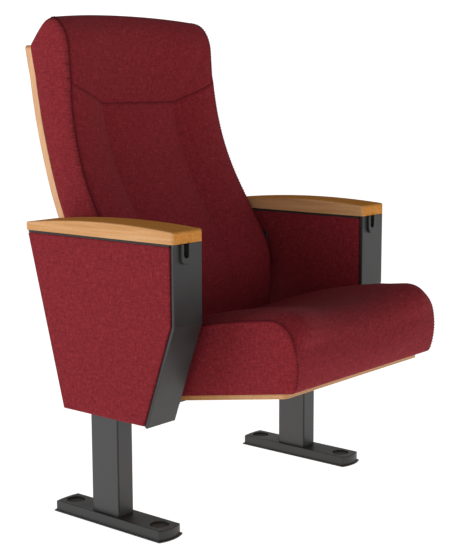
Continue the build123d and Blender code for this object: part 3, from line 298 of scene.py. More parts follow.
# Heavy plain-woven melange polyester, burgundy: dark and light yarns twisted together give short streaks
# along each thread, with a few pale slubs. It is matt, with a faint nap. The threads are really about
# 1.1 mm apart and are drawn at 2.3 mm, which is as coarse as the picture needs.
THREAD = 0.0023
YARN_STREAK = 9.0            # length of a streak, in threads
# the seam colour is painted shade for the seam's groove, and SEAM_SHADE is how strongly it is laid on
SEAM_SHADE = 0.75            # how fully the seam colour covers the cloth in a closed seam
melange_cloth, shader, place = new_finish("woven_melange_polyester")
weave = add(shader.id_data, "ShaderNodeUVMap", uv_map="weave").outputs[0]
threads = vector_op("MULTIPLY", weave, (1 / THREAD, 1 / THREAD, 0.0))
along_warp = vector_op("MULTIPLY", threads, (1.0, 1 / YARN_STREAK, 0.0))
along_weft = vector_op("MULTIPLY", threads, (1 / YARN_STREAK, 1.0, 0.0))
warp = noise(along_warp, 1.0, 2.0, roughness=0.6, dimensions="2D")
weft = noise(along_weft, 0.97, 2.0, roughness=0.6, dimensions="2D")
over = add(shader.id_data, "ShaderNodeTexChecker", {"Vector": threads, "Scale": 1.0}).outputs[1]
yarn = add(shader.id_data, "ShaderNodeMix", {0: over, 2: warp, 3: weft}).outputs[0]
slub = noise(threads, 0.38, 3.0, roughness=0.72, dimensions="2D")
mixed = add(shader.id_data, "ShaderNodeMix", {0: 0.5, 2: yarn, 3: slub}).outputs[0]
body = ramp(mixed, (0.30, "#68161e"), (0.43, "#7b2028"), (0.54, "#85262d"), (0.64, "#913034"),
    (0.76, "#a84a48"))
parts = split(threads)
humps = []
for axis in (0, 1):
    turn = value_op("MULTIPLY", parts[axis], math.pi)
    wave = value_op("SINE", turn)
    humps.append(value_op("ABSOLUTE", wave))
crown = value_op("MULTIPLY", humps[0], humps[1])
# painted shade in the hollows between the threads, lighter on their crowns
hollow = remap(crown, 0.0, 0.5, 0.93, 1.03)
shaded = vector_op("SCALE", body, hollow)
broad = noise(weave, 75.0, 3.0, roughness=0.6, dimensions="2D")
faded = remap(broad, 0.3, 0.7, 0.93, 1.07)
toned = vector_op("SCALE", shaded, faded)
crossing = vector_op("MULTIPLY", weave, (22.0, 190.0, 0.0))
pleats = noise(crossing, 1.0, 2.0, dimensions="2D")
gathered = add(shader.id_data, "ShaderNodeAttribute", attribute_name="gathered").outputs["Fac"]
pleated = value_op("MULTIPLY", pleats, gathered)
# painted shade: where a seam is marked, the cloth turns to a dark red for the shade in its groove
creased = add(shader.id_data, "ShaderNodeAttribute", attribute_name="in_seam").outputs["Fac"]
painted_seam_shade = remap(creased, 0.0, 1.0, 0.0, SEAM_SHADE)
# painted shade in the folds of the pleats, on top of their relief
pleat_shade = remap(pleated, 0.25, 0.60, 1.0, 0.62)
pleated_cloth = vector_op("SCALE", toned, pleat_shade)
cloth_colour = mix(painted_seam_shade, pleated_cloth, "#560c13")
fuzz = value_op("ADD", crown, slub)
folds = relief(pleated, 0.9, 0.0045)
bump = relief(fuzz, 0.45, 0.0006, folds)
feed(shader, {"Base Color": cloth_colour, "Normal": bump, "Roughness": 0.88, "IOR": 1.45,
    "Specular IOR Level": 0.12, "Sheen Weight": 0.07, "Sheen Roughness": 0.55,
    "Sheen Tint": "#c09094"})


def edges_of(outline):
    """Each edge of a convex outline as a corner, a direction and the normal that points out of it."""
    found = []
    for i, corner in enumerate(outline):
        start, end = Vector(corner), Vector(outline[(i + 1) % len(outline)])
        along = (end - start).normalized()
        found.append((start, along, Vector((-along.y, along.x))))
    middle = sum((Vector(c) for c in outline), Vector((0, 0))) / len(outline)
    return [(s, a, n if (middle - s).dot(n) < 0 else -n) for s, a, n in found]


def rounded_outline(outline, inward, radius, steps):
    """The outline moved inward, with each corner turned through a small arc."""
    edges = edges_of(outline)
    points = []
    for i in range(len(edges)):
        (s1, a1, n1), (s2, a2, n2) = edges[i - 1], edges[i]
        cut = max(radius - inward, LEAST_CORNER_R)
        depth = inward + cut
        # the arc's centre lies a depth inside both edges
        p1, p2 = s1 - n1 * depth, s2 - n2 * depth
        spread = a1.x * a2.y - a1.y * a2.x
        gap = p2 - p1
        centre = p1 + a1 * ((gap.x * a2.y - gap.y * a2.x) / spread)
        for k in range(steps + 1):
            turn = n1.slerp(n2, k / steps)
            points.append(centre + turn * cut)
    return points


def arm_panel(name, side, face_x, out):
    """One panel, whose face lies face_x from the chair's middle; out is +1 where it faces outward."""
    mesh = bmesh.new()
    rings = []
    for inward in PANEL_RINGS:
        outline = rounded_outline(ARM_OUTLINE, inward, PANEL_CORNER_R, CORNER_STEPS)
        ring = [mesh.verts.new((0.0, p.x, p.y)) for p in outline]
        if rings:
            for i in range(len(ring)):
                j = (i + 1) % len(ring)
                mesh.faces.new((rings[-1][i], rings[-1][j], ring[j], ring[i]))
        rings.append(ring)
    mesh.faces.new(rings[-1])
    for axis in (1, 2):
        low, high = (pick(corner[axis - 1] for corner in ARM_OUTLINE) for pick in (min, max))
        for k in range(1, int((high - low) / PANEL_GRID) + 1):
            at, cut = [0.0, 0.0, 0.0], [0.0, 0.0, 0.0]
            at[axis], cut[axis] = low + k * PANEL_GRID, 1.0
            bmesh.ops.bisect_plane(mesh, geom=mesh.verts[:] + mesh.edges[:] + mesh.faces[:],
                plane_co=at, plane_no=cut)
    edges = edges_of(ARM_OUTLINE)
    uv_at = {}
    for v in mesh.verts:
        p = Vector((v.co.y, v.co.z))
        inward = min((s - p).dot(n) for s, a, n in edges)
        short = PANEL_EDGE_R - min(max(inward, 0.0), PANEL_EDGE_R)
        drop = PANEL_EDGE_R - math.sqrt(PANEL_EDGE_R ** 2 - short ** 2)
        swell = PANEL_SWELL * (1 - math.exp(-max(inward, 0.0) / PANEL_SOFTNESS))
        v.co.x = side * (face_x + out * (swell - drop))
        uv_at[v] = p
    rim = [e for e in mesh.edges if e.is_boundary]
    made = bmesh.ops.extrude_edge_only(mesh, edges=rim)["geom"]
    back_x = face_x - out * PANEL_THICKNESS
    for v in [g for g in made if isinstance(g, bmesh.types.BMVert)]:
        p = Vector((v.co.y, v.co.z))
        normal = min(edges, key=lambda e: (e[0] - p).dot(e[2]))[2]
        uv_at[v] = p + normal * (PANEL_THICKNESS - PANEL_EDGE_R)
        v.co.x = side * back_x
    bmesh.ops.holes_fill(mesh, edges=[e for e in mesh.edges if e.is_boundary])
    bmesh.ops.recalc_face_normals(mesh, faces=mesh.faces)
    layer = mesh.loops.layers.uv.new("weave")
    for f in mesh.faces:
        f.smooth = True
        for loop in f.loops:
            loop[layer].uv = uv_at[loop.vert]
    data = bpy.data.meshes.new(name)
    mesh.to_mesh(data)
    mesh.free()
    data.materials.append(melange_cloth)
    return link_piece(name, data)


for side, hand in ((-1, "left"), (1, "right")):
    for layer, face_x, out in (("outer", ARM_X + ARM_HALF_WIDTH, 1), ("inner",
        ARM_X - ARM_HALF_WIDTH, -1)):
        panel = arm_panel(f"{layer}_arm_panel_cover_{hand}", side, face_x, out)
        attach(panel, "stand")
        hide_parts(f"{layer}_panel_{hand}")


# ---- Fascias and trims ----------------------------------------------------------------------------
# A moulded fascia covers the front of each arm box, with a slot under the cap and a raised lip round it.
# Strips of the same plastic close the box behind and below, and a dark board carries the cap.
coat(moulded_plastic, "front_fascia", "slot_bezel", "rear_trim", "bottom_trim")

# Black-stained fibreboard: flat, soft and dusty, with the short felted fibres just showing.
stained_board, shader, place = new_finish("black_stained_fibreboard")
felt = noise(place, 520.0, 4.0)
plain(shader, felt, (0.35, "#1d1c1c"), (0.7, "#2e2c2b"), bumps=(0.25, 0.0004),
    more={"Roughness": 0.75})
coat(stained_board, "cap_carrier")


# ---- Arm caps -------------------------------------------------------------------------------------
# Solid beech, shaped with a long shallow arc on top and a rounded nose, sanded and clear lacquered, and
# screwed from below.

# Lacquered beech: warm straw colour with straight grain along the arm, growth bands 4 to 8 mm wide, and
# the short darker ray flecks that mark beech, really 0.4 mm wide and drawn at 1 mm. The lacquer is
# dead matt. The top, the nose and the other faces that don't face sideways are painted a deeper amber:
# painted shade for the dimmer light on them.
GROWTH_BAND = 0.006
FLECK_WIDTH, FLECK_LENGTH = 0.0010, 0.0045
lacquered_beech, shader, place = new_finish("clear_lacquered_beech")
banded = vector_op("MULTIPLY", place, (1 / GROWTH_BAND, 0.035 / GROWTH_BAND, 1 / GROWTH_BAND))
bands = noise(banded, 1.0, 3.0, distortion=0.4)
body = ramp(bands, (0.3, "#c99462"), (0.5, "#d5a06d"), (0.72, "#deae7f"))
facing = add(shader.id_data, "ShaderNodeTexCoord").outputs["Normal"]
sides = vector_op("ABSOLUTE", facing)
sideways = split(sides)["X"]
# painted shade: a deeper amber on faces that don't face sideways, the top and the nose among them
shade_tone_share = remap(sideways, 0.25, 0.80, 0.9, 0.0)
amber = mix(1.0, body, "#ffe2a0", "MULTIPLY")
shade_toned = mix(shade_tone_share, body, amber)
rayed = vector_op("MULTIPLY", place, (1 / FLECK_WIDTH, 1 / FLECK_LENGTH, 1 / FLECK_WIDTH))
rays = noise(rayed, 1.0, 1.0)
ray = remap(rays, 0.58, 0.70, 0.0, 0.35)
flecked = mix(ray, shade_toned, "#94602c")
bump = relief(rays, 0.08, 0.0003)
dull = remap(bands, 0.3, 0.7, 0.6, 0.7)
feed(shader, {"Base Color": flecked, "Roughness": dull, "Normal": bump, "Specular IOR Level": 0.0})
coat(lacquered_beech, "arm_cap")

# Zinc-plated steel fasteners: bright, slightly blue, with crystalline blotches from the plating bath.
zinc_plate, shader, place = new_finish("zinc_plated_steel")
bath = add(shader.id_data, "ShaderNodeTexVoronoi", {"Vector": place, "Scale": 500.0}).outputs[0]
plain(shader, bath, (0.2, "#b9bcbf"), (0.8, "#8f9498"), dull=(0.28, 0.42), bumps=(0.1, 0.0002),
    more={"Metallic": 1.0})
coat(zinc_plate, "cap_screws")


# ---- Seat pivots ----------------------------------------------------------------------------------
# On each side a steel bracket is bolted inside the arm and holds the pin. The seat's side plate turns on
# it in a nylon bush, a rubber-sleeved stud stops it, and a coil spring tips the empty seat up.
coat(powder_coat, "pivot_bracket", "side_plate")
coat(zinc_plate, "pivot_bolts")

# Ground steel pin: silvery, with fine rings round its axis (X) about 0.4 mm apart.
RING_PITCH = 0.0004
ground_steel, shader, place = new_finish("ground_steel")
across = vector_op("MULTIPLY", place, (1 / RING_PITCH, 8.0, 8.0))
rings = noise(across, 1.0, 2.0)
plain(shader, rings, (0.3, "#a9aaac"), (0.7, "#c9cacb"), dull=(0.2, 0.34), more={"Metallic": 1.0})
coat(ground_steel, "pivot_pin")

# Natural nylon: milky, slightly waxy, with faint flow clouds.
nylon, shader, place = new_finish("natural_nylon")
cloud = noise(place, 150.0, 3.0)
plain(shader, cloud, (0.3, "#d2ccba"), (0.7, "#e4dfd0"), dull=(0.38, 0.5), more={"IOR": 1.53})
coat(nylon, "pivot_bush")

# Black rubber: matt, with a dry grey bloom in patches.
rubber, shader, place = new_finish("black_rubber")
bloom = noise(place, 260.0, 4.0)
plain(shader, bloom, (0.4, "#191919"), (0.75, "#2d2c2b"), bumps=(0.2, 0.0002),
    more={"Roughness": 0.82})
coat(rubber, "stop_buffer")

# Oil-blackened spring wire: dark, with long drawing lines and a thin film of oil.
spring_wire, shader, place = new_finish("oil_blackened_spring_steel")
drawn = noise(place, 420.0, 3.0)
plain(shader, drawn, (0.3, "#3a3836"), (0.7, "#5b5854"), dull=(0.25, 0.45), more={"Metallic": 0.9})
coat(spring_wire, "return_spring")


# ---- Seat base ------------------------------------------------------------------------------------
# A beech plywood board under the seat cushion, on two square cross tubes that join the side plates.
# Its front and side edges show below the cushion as a clear-lacquered line.
SEAT_TILT = math.radians(9.8)
PIVOT_Y, PIVOT_Z = -0.055, 0.330
SEAT_BASE_DROP, SEAT_BASE_THICKNESS = 0.084, 0.010

# Lacquered beech plywood: plain face veneer with the grain running across the seat, and on the edges
# alternate long and end grain, really 1.25 mm plies and drawn at 2.5 mm.
SEAT_PLY = 0.0025
seat_plywood, shader, place = new_finish("clear_lacquered_beech_plywood_board")
low = (0.0, PIVOT_Y - SEAT_BASE_DROP * math.sin(SEAT_TILT),
    PIVOT_Z - SEAT_BASE_DROP * math.cos(SEAT_TILT))
above = vector_op("SUBTRACT", place, low)
depth = vector_op("DOT_PRODUCT", above, (0.0, math.sin(SEAT_TILT) / SEAT_PLY,
    math.cos(SEAT_TILT) / SEAT_PLY))
layer = value_op("PINGPONG", depth, 1.0)
streaked = vector_op("MULTIPLY", place, (6.0, 220.0, 220.0))
streaks = noise(streaked, 1.0, 4.0, distortion=0.3)
face = ramp(streaks, (0.3, "#c28c50"), (0.7, "#d4a064"))
line = remap(layer, 0.55, 0.95, 0.0, 0.5)
body = mix(line, face, "#a06a34")
bump = relief(streaks, 0.08, 0.0003)
feed(shader, {"Base Color": body, "Normal": bump, "Roughness": 0.42, "Coat Weight": 0.2,
    "Coat Roughness": 0.25})
coat(seat_plywood, "seat_base")
coat(powder_coat, "seat_front_tube", "seat_rear_tube")
coat(zinc_plate, "seat_bolts")


# ---- Seat cushion ---------------------------------------------------------------------------------
# Moulded foam glued to the board, in a sewn cover: one long panel wraps the front and top, and a flat
# panel closes each side. It dishes in the middle and rises to soft bolsters.
CUSHION_X = 0.239
SEAT_BASE_FRONT, SEAT_BASE_REAR = 0.302, -0.075
NOSE_OVERHANG, NOSE_REACH, NOSE_HEIGHT = 0.0275, 0.350, 0.008
FACE_MID, ROLL_MID = (0.0035, -0.034), (0.014, 0.044)
TOP_FRONT, TOP_MIDDLE = (0.043, 0.0623), (0.127, 0.0615)
REAR_OVERHANG, HEEL_HEIGHT, HEEL_MID, TOP_REAR = 0.003, 0.016, (0.005, 0.035), (0.022, 0.044)
BOLSTER_RISE, FOAM_GAP = 0.017, 0.0003
ROLL_SWELL = 0.007           # how far the nose's upper roll stands out at the bolsters
NOSE_SPREAD = 0.026          # how far the sides stand out round the nose, as a share of the width
STATION_SHARES = [0, 0.25, 0.5, 0.68, 0.8, 0.9, 0.96, 1]
STATION_RISES = [0, 0.06, 0.38, 0.8, 1, 0.85, 0.4, 0]
STATION_SWELLS = [0, 0.05, 0.25, 0.7, 1, 1, 0.5, -0.3]
EDGE_R = 0.0045              # rounding of a sewn edge
EDGE_GAPS = (0.0045, 0.0032, 0.0020)     # rows of the rounding, in from the corner
SEAM_IN = 0.0018             # how far a seam lies inside both faces that it joins
SEAT_SLACK = 0.0012          # the cover starts this much inside its full shape, and the foam fills it
SEAT_CAP = 0.0045            # no point of it moves further than this
SEAT_ENDS, SEAT_LONGS = 16, 36           # points along the short and the long sides of the outline
SPREAD_FROM, SPREAD_OVER = 0.19, 0.10    # where the sides begin to stand out, and how softly
SPREAD_BELOW, SPREAD_RISE = 0.070, 0.08  # and the same upward from below the pivot
SIDE_SWELL, SIDE_SWELL_IN = 0.0010, 0.04
COLUMN_STEP = 0.045                      # columns across the middle, as a share of the half width
CLOTH_FRAMES = 20
COVER_CLOTH = {"quality": 6, "mass": 0.3, "tension_stiffness": 12.0, "compression_stiffness": 12.0,
               "shear_stiffness": 5.0, "bending_stiffness": 0.5, "vertex_group_mass": "held",
               "use_pressure": True, "uniform_pressure_force": 4.0}


def recess(gap):
    """How far the rounding of an edge lies below the face, at a gap in from the corner."""
    return EDGE_R - math.sqrt(EDGE_R ** 2 - (EDGE_R - min(gap, EDGE_R)) ** 2)


def arc(start, middle, end, count):
    """Evenly spaced points on the arc through three points, without its end."""
    (ax, ay), (mx, my), (bx, by) = start, middle, end
    twice = 2 * (ax * (my - by) + mx * (by - ay) + bx * (ay - my))
    aa, mm, bb = ax * ax + ay * ay, mx * mx + my * my, bx * bx + by * by
    cx = (aa * (my - by) + mm * (by - ay) + bb * (ay - my)) / twice
    cy = (aa * (bx - mx) + mm * (ax - bx) + bb * (mx - ax)) / twice
    radius = math.hypot(ax - cx, ay - cy)
    first, mid, last = (math.atan2(y - cy, x - cx) for x, y in (start, middle, end))
    sweep = (last - first) % math.tau
    if (mid - first) % math.tau > sweep:
        sweep -= math.tau
    turns = [first + sweep * k / count for k in range(count)]
    return [(cx + radius * math.cos(t), cy + radius * math.sin(t)) for t in turns]


def line(start, end, count):
    """Evenly spaced points on a straight line, without its end."""
    (ax, ay), (bx, by) = start, end
    return [(ax + (bx - ax) * k / count, ay + (by - ay) * k / count) for k in range(count)]


def lengths_round(points):
    """The length run so far at each point of a closed outline, and at its end."""
    made = [0.0]
    for (ax, ay), (bx, by) in zip(points, points[1:] + points[:1]):
        made.append(made[-1] + math.hypot(bx - ax, by - ay))
    return made


def seat_outline(rise, roll, swell):
    """The cushion's outline, along the seat and above the pivot: nose, top, rear, then underside."""
    under = -SEAT_BASE_DROP + SEAT_BASE_THICKNESS + FOAM_GAP
    reach, rear = NOSE_REACH - roll, SEAT_BASE_REAR - REAR_OVERHANG
    lift, rear_lift = rise - roll, rise / 2 - roll
    nose_low = (SEAT_BASE_FRONT + NOSE_OVERHANG - roll / 2, under)
    nose = (reach + 0.4 * swell, NOSE_HEIGHT)
    front = (reach - TOP_FRONT[0] + 1.5 * swell, TOP_FRONT[1] + lift)
    roll_mid = (reach - ROLL_MID[0] + swell, ROLL_MID[1] + lift + 0.8 * swell)
    back = (rear + TOP_REAR[0], TOP_REAR[1] + rear_lift)
    heel = (rear, HEEL_HEIGHT)
    half = SEAT_ENDS // 2
    points = arc(nose_low, (reach - FACE_MID[0], FACE_MID[1]), nose, half)
    points += arc(nose, roll_mid, front, half)
    points += arc(front, (TOP_MIDDLE[0], TOP_MIDDLE[1] + lift), back, SEAT_LONGS)
    points += arc(back, (rear + HEEL_MID[0], HEEL_MID[1] + rear_lift), heel, half // 2)
    points += line(heel, (rear, under), SEAT_ENDS - half // 2)
    points += line((rear, under), nose_low, SEAT_LONGS)
    return points


def nose_width(along, above):
    """The cushion's width at a place, over its width elsewhere: it stands out round the nose."""
    forward = clamp((along - SPREAD_FROM) / SPREAD_OVER)
    upward = clamp((above + SPREAD_BELOW) / SPREAD_RISE)
    return 1 + NOSE_SPREAD * forward * forward * (3 - 2 * forward) * upward


def seat_place(x, along, above):
    """A point of the seat, measured from the pivot, in the chair's frame."""
    x *= nose_width(along, above)
    c, s = math.cos(SEAT_TILT), math.sin(SEAT_TILT)
    return (x, PIVOT_Y - along * c + above * s, PIVOT_Z + along * s + above * c)


def sewn_cover(name, wrap, rim, side_point, ends, longs, run):
    """A closed cushion cover. wrap[c][r] are its points, column by column across and row by row round
    the outline, whose sides have ends, longs, ends and longs rows. rim is the full outline in the side
    panels' plane, and side_point(side, p, q, inset) places a panel's point. run is the length round the
    outline at each row. Returns the piece and its point numbers by column and row."""
    points = [p for column in wrap for p in column]
    turn = len(rim)
    number = [[c * turn + r for r in range(turn)] for c in range(len(wrap))]
    faces, uvs = [], []
    for c in range(len(wrap) - 1):
        for r in range(turn):
            n = (r + 1) % turn
            faces.append((number[c][r], number[c][n], number[c + 1][n], number[c + 1][r]))
            across = [wrap[c][r][0], wrap[c][n][0], wrap[c + 1][n][0], wrap[c + 1][r][0]]
            uvs.append(list(zip(across, (run[r], run[r + 1], run[r + 1], run[r]))))
    rim = [Vector(p) for p in rim]
    spin = 1 if sum(a.x * b.y - a.y * b.x for a, b in zip(rim, rim[1:] + rim[:1])) > 0 else -1
    for side, column in ((-1, 0), (1, len(wrap) - 1)):
        ring, ring_at, depth = number[column], rim, 0.0
        for inset in reversed(EDGE_GAPS):
            moved = []
            for r in range(turn):
                along = (ring_at[(r + 1) % turn] - ring_at[r - 1]).normalized()
                moved.append(ring_at[r] + spin * Vector((-along.y, along.x)) * (inset - depth))
            fresh = list(range(len(points), len(points) + turn))
            points += [side_point(side, p.x, p.y, inset) for p in moved]
            for r in range(turn):
                n = (r + 1) % turn
                faces.append((ring[r], fresh[r], fresh[n], ring[n]))
                uvs.append([tuple(p) for p in (ring_at[r], moved[r], moved[n], ring_at[n])])
            ring, ring_at, depth = fresh, moved, inset
        grid, spot = {}, {}
        for k in range(turn):
            if k <= ends:
                key = (0, k)
            elif k <= ends + longs:
                key = (k - ends, ends)
            elif k <= 2 * ends + longs:
                key = (longs, 2 * ends + longs - k)
            else:
                key = (turn - k, 0)
            grid[key], spot[key] = ring[k], ring_at[k]
        for i in range(1, longs):
            for j in range(1, ends):
                a, b = i / longs, j / ends
                p = (1 - b) * spot[i, 0] + b * spot[i, ends] + (1 - a) * spot[0,
                    j] + a * spot[longs, j]
                p -= (1 - a) * ((1 - b) * spot[0, 0] + b * spot[0, ends])
                p -= a * ((1 - b) * spot[longs, 0] + b * spot[longs, ends])
                grid[i, j], spot[i, j] = len(points), p
                points.append(side_point(side, p.x, p.y, EDGE_R + 0.1 * min(a, 1 - a, b, 1 - b)))
        for i in range(longs):
            for j in range(ends):
                corners = [(i, j), (i, j + 1), (i + 1, j + 1), (i + 1, j)]
                faces.append(tuple(grid[c] for c in corners))
                uvs.append([tuple(spot[c]) for c in corners])
    data = bpy.data.meshes.new(name)
    data.from_pydata(points, [], faces)
    layer = data.uv_layers.new(name="weave")
    layer.data.foreach_set("uv", [value for uv in uvs for corner in uv for value in corner])
    shape = bmesh.new()
    shape.from_mesh(data)
    bmesh.ops.recalc_face_normals(shape, faces=shape.faces)
    for f in shape.faces:
        f.smooth = True
    shape.to_mesh(data)
    shape.free()
    data.materials.append(melange_cloth)
    return link_piece(name, data), number


def mark_seams(piece, runs):
    """Marks the cover's points near its seams, by how strong each run's painted shade is and how wide it
    is, for the cloth to be darker there: painted shade in the seams' grooves."""
    marks = np.zeros(len(piece.data.vertices))
    spots = np.array([v.co[:] for v in piece.data.vertices])
    # closed is how strong the painted seam shade is along a run
    for run, closed, half in runs:
        apart = np.linalg.norm(spots[:, None] - spots[run][None], axis=2).min(axis=1)
        marks = np.maximum(marks, closed * np.clip(1.2 - apart / half, 0, 1))
    piece.data.attributes.new("in_seam", "FLOAT", "POINT").data.foreach_set("value", marks)


def fill_with_foam(piece, held, slack, cap):
    """Draws the cover in by its slack except where it is held, lets the foam press it out as cloth under
    pressure, limits how far any point goes, and then smooths it by one subdivision."""
    data = piece.data
    count = len(data.vertices)
    held = np.array(held)
    full = np.zeros(count * 3)
    data.vertices.foreach_get("co", full)
    full = full.reshape(-1, 3)
    outward = np.array([v.normal for v in data.vertices])
    start = full - outward * (slack * (1 - held))[:, None]
    data.vertices.foreach_set("co", start.ravel())
    data.update()
    group = piece.vertex_groups.new(name="held")
    for i in np.nonzero(held > 0)[0]:
        group.add([int(i)], float(held[i]), "REPLACE")
    cloth = piece.modifiers.new("cover", "CLOTH")
    for setting, value in COVER_CLOTH.items():
        setattr(cloth.settings, setting, value)
    cloth.settings.effector_weights.gravity = 0.0
    cloth.point_cache.frame_start, cloth.point_cache.frame_end = 1, CLOTH_FRAMES
    for number in range(1, CLOTH_FRAMES + 1):
        scene.frame_set(number)
    posed = finished(piece).data
    swollen = np.zeros(count * 3)
    posed.vertices.foreach_get("co", swollen)
    move = swollen.reshape(-1, 3) - start
    size = np.linalg.norm(move, axis=1)
    move *= np.minimum(1, cap / np.maximum(size, 1e-9))[:, None]
    # foam under the cover keeps it from sinking below where it started
    move += outward * np.maximum(0, -(move * outward).sum(axis=1))[:, None]
    piece.modifiers.remove(cloth)
    scene.frame_set(1)
    data.vertices.foreach_set("co", (start + move).ravel())
    data.update()
    smooth = piece.modifiers.new("smooth", "SUBSURF")
    smooth.levels = smooth.render_levels = 1
    filled = bpy.data.meshes.new_from_object(finished(piece))
    piece.modifiers.remove(smooth)
    piece.data = filled
    bpy.data.meshes.remove(data)
    filled.name = piece.name


half_x = [k * COLUMN_STEP * CUSHION_X for k in range(21)] + [CUSHION_X - 0.0165, CUSHION_X - 0.011]
half_x += [CUSHION_X - gap for gap in EDGE_GAPS] + [CUSHION_X - SEAM_IN]
seat_columns = [-x for x in reversed(half_x[1:])] + half_x
wrap = []
for c, x in enumerate(seat_columns):
    share = abs(x) / CUSHION_X
    near = [min(abs(share + d), 1.0) for d in (-0.06, -0.03, 0.0, 0.03, 0.06)]
    rise = float(np.mean(np.interp(near, STATION_SHARES, STATION_RISES))) * BOLSTER_RISE
    swell = float(np.mean(np.interp(near, STATION_SHARES, STATION_SWELLS))) * ROLL_SWELL
    roll = SEAM_IN if c in (0, len(seat_columns) - 1) else recess(CUSHION_X - abs(x))
    wrap.append([seat_place(x, *p) for p in seat_outline(rise, roll, swell)])
seat_rim = seat_outline(rise, 0.0, swell)


def seat_side_point(side, p, q, inset):
    """A point of a side panel, which swells a little away from its seam."""
    out = CUSHION_X - recess(inset) + SIDE_SWELL * min(inset / SIDE_SWELL_IN, 1.0)
    return seat_place(side * out, p, q)


seat_cushion, seat_number = sewn_cover(
    "seat_cushion_cover", wrap, seat_rim, seat_side_point, SEAT_ENDS, SEAT_LONGS,
    lengths_round(seat_outline(0.0, 0.0, 0.0)))
held = [0.0] * len(seat_cushion.data.vertices)
for c, column in enumerate(seat_number):
    gone = min(c, len(seat_number) - 1 - c)
    for r, i in enumerate(column):
        under = r == 0 or r >= 2 * SEAT_ENDS + SEAT_LONGS
        held[i] = 1.0 if under or gone == 0 else max(0.0, 0.75 - 0.2 * gone)
seat_seams = []
for column in (seat_number[0], seat_number[-1]):
    # painted seam shade: strongest round the nose's upper roll, lighter below it and along the top
    seat_seams += [(column[:SEAT_ENDS // 2 + 1], 0.30, 0.0036),
        (column[SEAT_ENDS // 2:SEAT_ENDS + 3], 0.80, 0.0040)]
    seat_seams.append((column[SEAT_ENDS + 3:SEAT_ENDS + SEAT_LONGS + 1], 0.45, 0.0036))
mark_seams(seat_cushion, seat_seams)
fill_with_foam(seat_cushion, held, SEAT_SLACK, SEAT_CAP)
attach(seat_cushion, "seat")
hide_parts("seat_cushion")


# ---- Back shell -----------------------------------------------------------------------------------
# Bent beech plywood, 17.5 mm thick: straight behind the sitter's loins and gently curved above. Each
# side is held to the arm by a steel angle, with three screws into the wood and two bolts into the arm.
SHELL_THICKNESS = 0.0175
SHELL_LEAN = math.radians(22.7)
SHELL_BEND_Y, SHELL_BEND_Z, SHELL_BEND_R = 0.232, 0.609, 1.748
SHELL_TOP_Z = 0.956

# Lacquered beech plywood again, bent: the grain of the face runs up the back, and the plies on the edge
# follow its curve, drawn at 2.2 mm. The edges are sanded round.
BACK_PLY = SHELL_THICKNESS / 8
bent_plywood, shader, place = new_finish("clear_lacquered_bent_beech_plywood")
bend_centre = (0.0, SHELL_BEND_Y - SHELL_BEND_R * math.cos(SHELL_LEAN),
    SHELL_BEND_Z + SHELL_BEND_R * math.sin(SHELL_LEAN))
in_plane = vector_op("MULTIPLY", place, (0.0, 1.0, 1.0))
from_centre = vector_op("SUBTRACT", in_plane, bend_centre)
radius = vector_op("LENGTH", from_centre)
square_to = vector_op("DOT_PRODUCT", from_centre, (0.0, math.cos(SHELL_LEAN),
    -math.sin(SHELL_LEAN)))
height = vector_op("DOT_PRODUCT", from_centre, (0.0, math.sin(SHELL_LEAN), math.cos(SHELL_LEAN)))
is_bent = value_op("GREATER_THAN", height, 0.0)
out_to = add(shader.id_data, "ShaderNodeMix", {0: is_bent, 2: square_to, 3: radius}).outputs[0]
depth = value_op("SUBTRACT", SHELL_BEND_R, out_to)
plies = value_op("DIVIDE", depth, BACK_PLY)
layer = value_op("PINGPONG", plies, 1.0)
streaked = vector_op("MULTIPLY", place, (170.0, 90.0, 4.5))
streaks = noise(streaked, 1.0, 4.0, distortion=0.5)
face = ramp(streaks, (0.3, "#c88b50"), (0.5, "#d5995e"), (0.75, "#dea86f"))
glue = remap(layer, 0.55, 0.95, 0.0, 0.4)
laid = mix(glue, face, "#b07a48")
rayed = vector_op("MULTIPLY", place, (1 / FLECK_WIDTH, 1 / FLECK_WIDTH, 1 / FLECK_LENGTH))
rays = noise(rayed, 1.0, 1.0)
ray = remap(rays, 0.58, 0.70, 0.0, 0.3)
flecked = mix(ray, laid, "#a8723f")
rounded = add(shader.id_data, "ShaderNodeBevel", {"Radius": 0.0025}, samples=4).outputs[0]
bump = relief(streaks, 0.08, 0.0003, rounded)
feed(shader, {"Base Color": flecked, "Normal": bump, "Roughness": 0.40, "Coat Weight": 0.2,
    "Coat Roughness": 0.25})
coat(bent_plywood, "back_shell")
coat(powder_coat, "back_bracket")
coat(zinc_plate, "back_bolts", "shell_screws")


# ---- Back cushion ---------------------------------------------------------------------------------
# Foam in a sewn cover on the front of the shell. The front is seamed into a head panel, a middle and two
# bolsters; the seam dips in a wide V, and two soft channels run down from its corners.
BACK_BOTTOM_Z, BACK_TOP_Z, BACK_TOP_CROWN, BACK_CORNER_R = 0.330, 1.0245, 0.010, 0.011
BACK_HALF_WIDTH, BACK_TAPER, TAPER_FROM, TAPER_TO = 0.2425, 0.016, 0.640, 0.890
LUMBAR_Y, LUMBAR_TOP_Z = 0.034, 0.462
PROFILE = {"lumbar": (0.0, 0.0, 0.4), "lumbar_mid": (0.005, 0.036, 0.45), "slope": (0.020, 0.070,
    0.6),
           "bend": (0.081, 0.168, 0.85), "bend_mid": (0.1365, 0.290, 0.95), "head": (0.1595, 0.418,
               1.0)}
CREST_Y, CREST_Z = LUMBAR_Y + 0.1635, BACK_TOP_Z - 0.084
DISH, CENTRE_CROWN, BOLSTER_SWELL, CHANNEL_X = 0.028, 0.007, 0.006, 0.113
SEAM_SIDE_Z, SEAM_MIDDLE_Z, SEAM_SPAN = 0.877, 0.833, 0.224
HEAD_SEAM_DEPTH, HEAD_SEAM_HALF = 0.0050, 0.0026
CHANNEL_DEPTH, CHANNEL_HALF = 0.0030, 0.008
BACK_SLACK, BACK_CAP = 0.0012, 0.0040
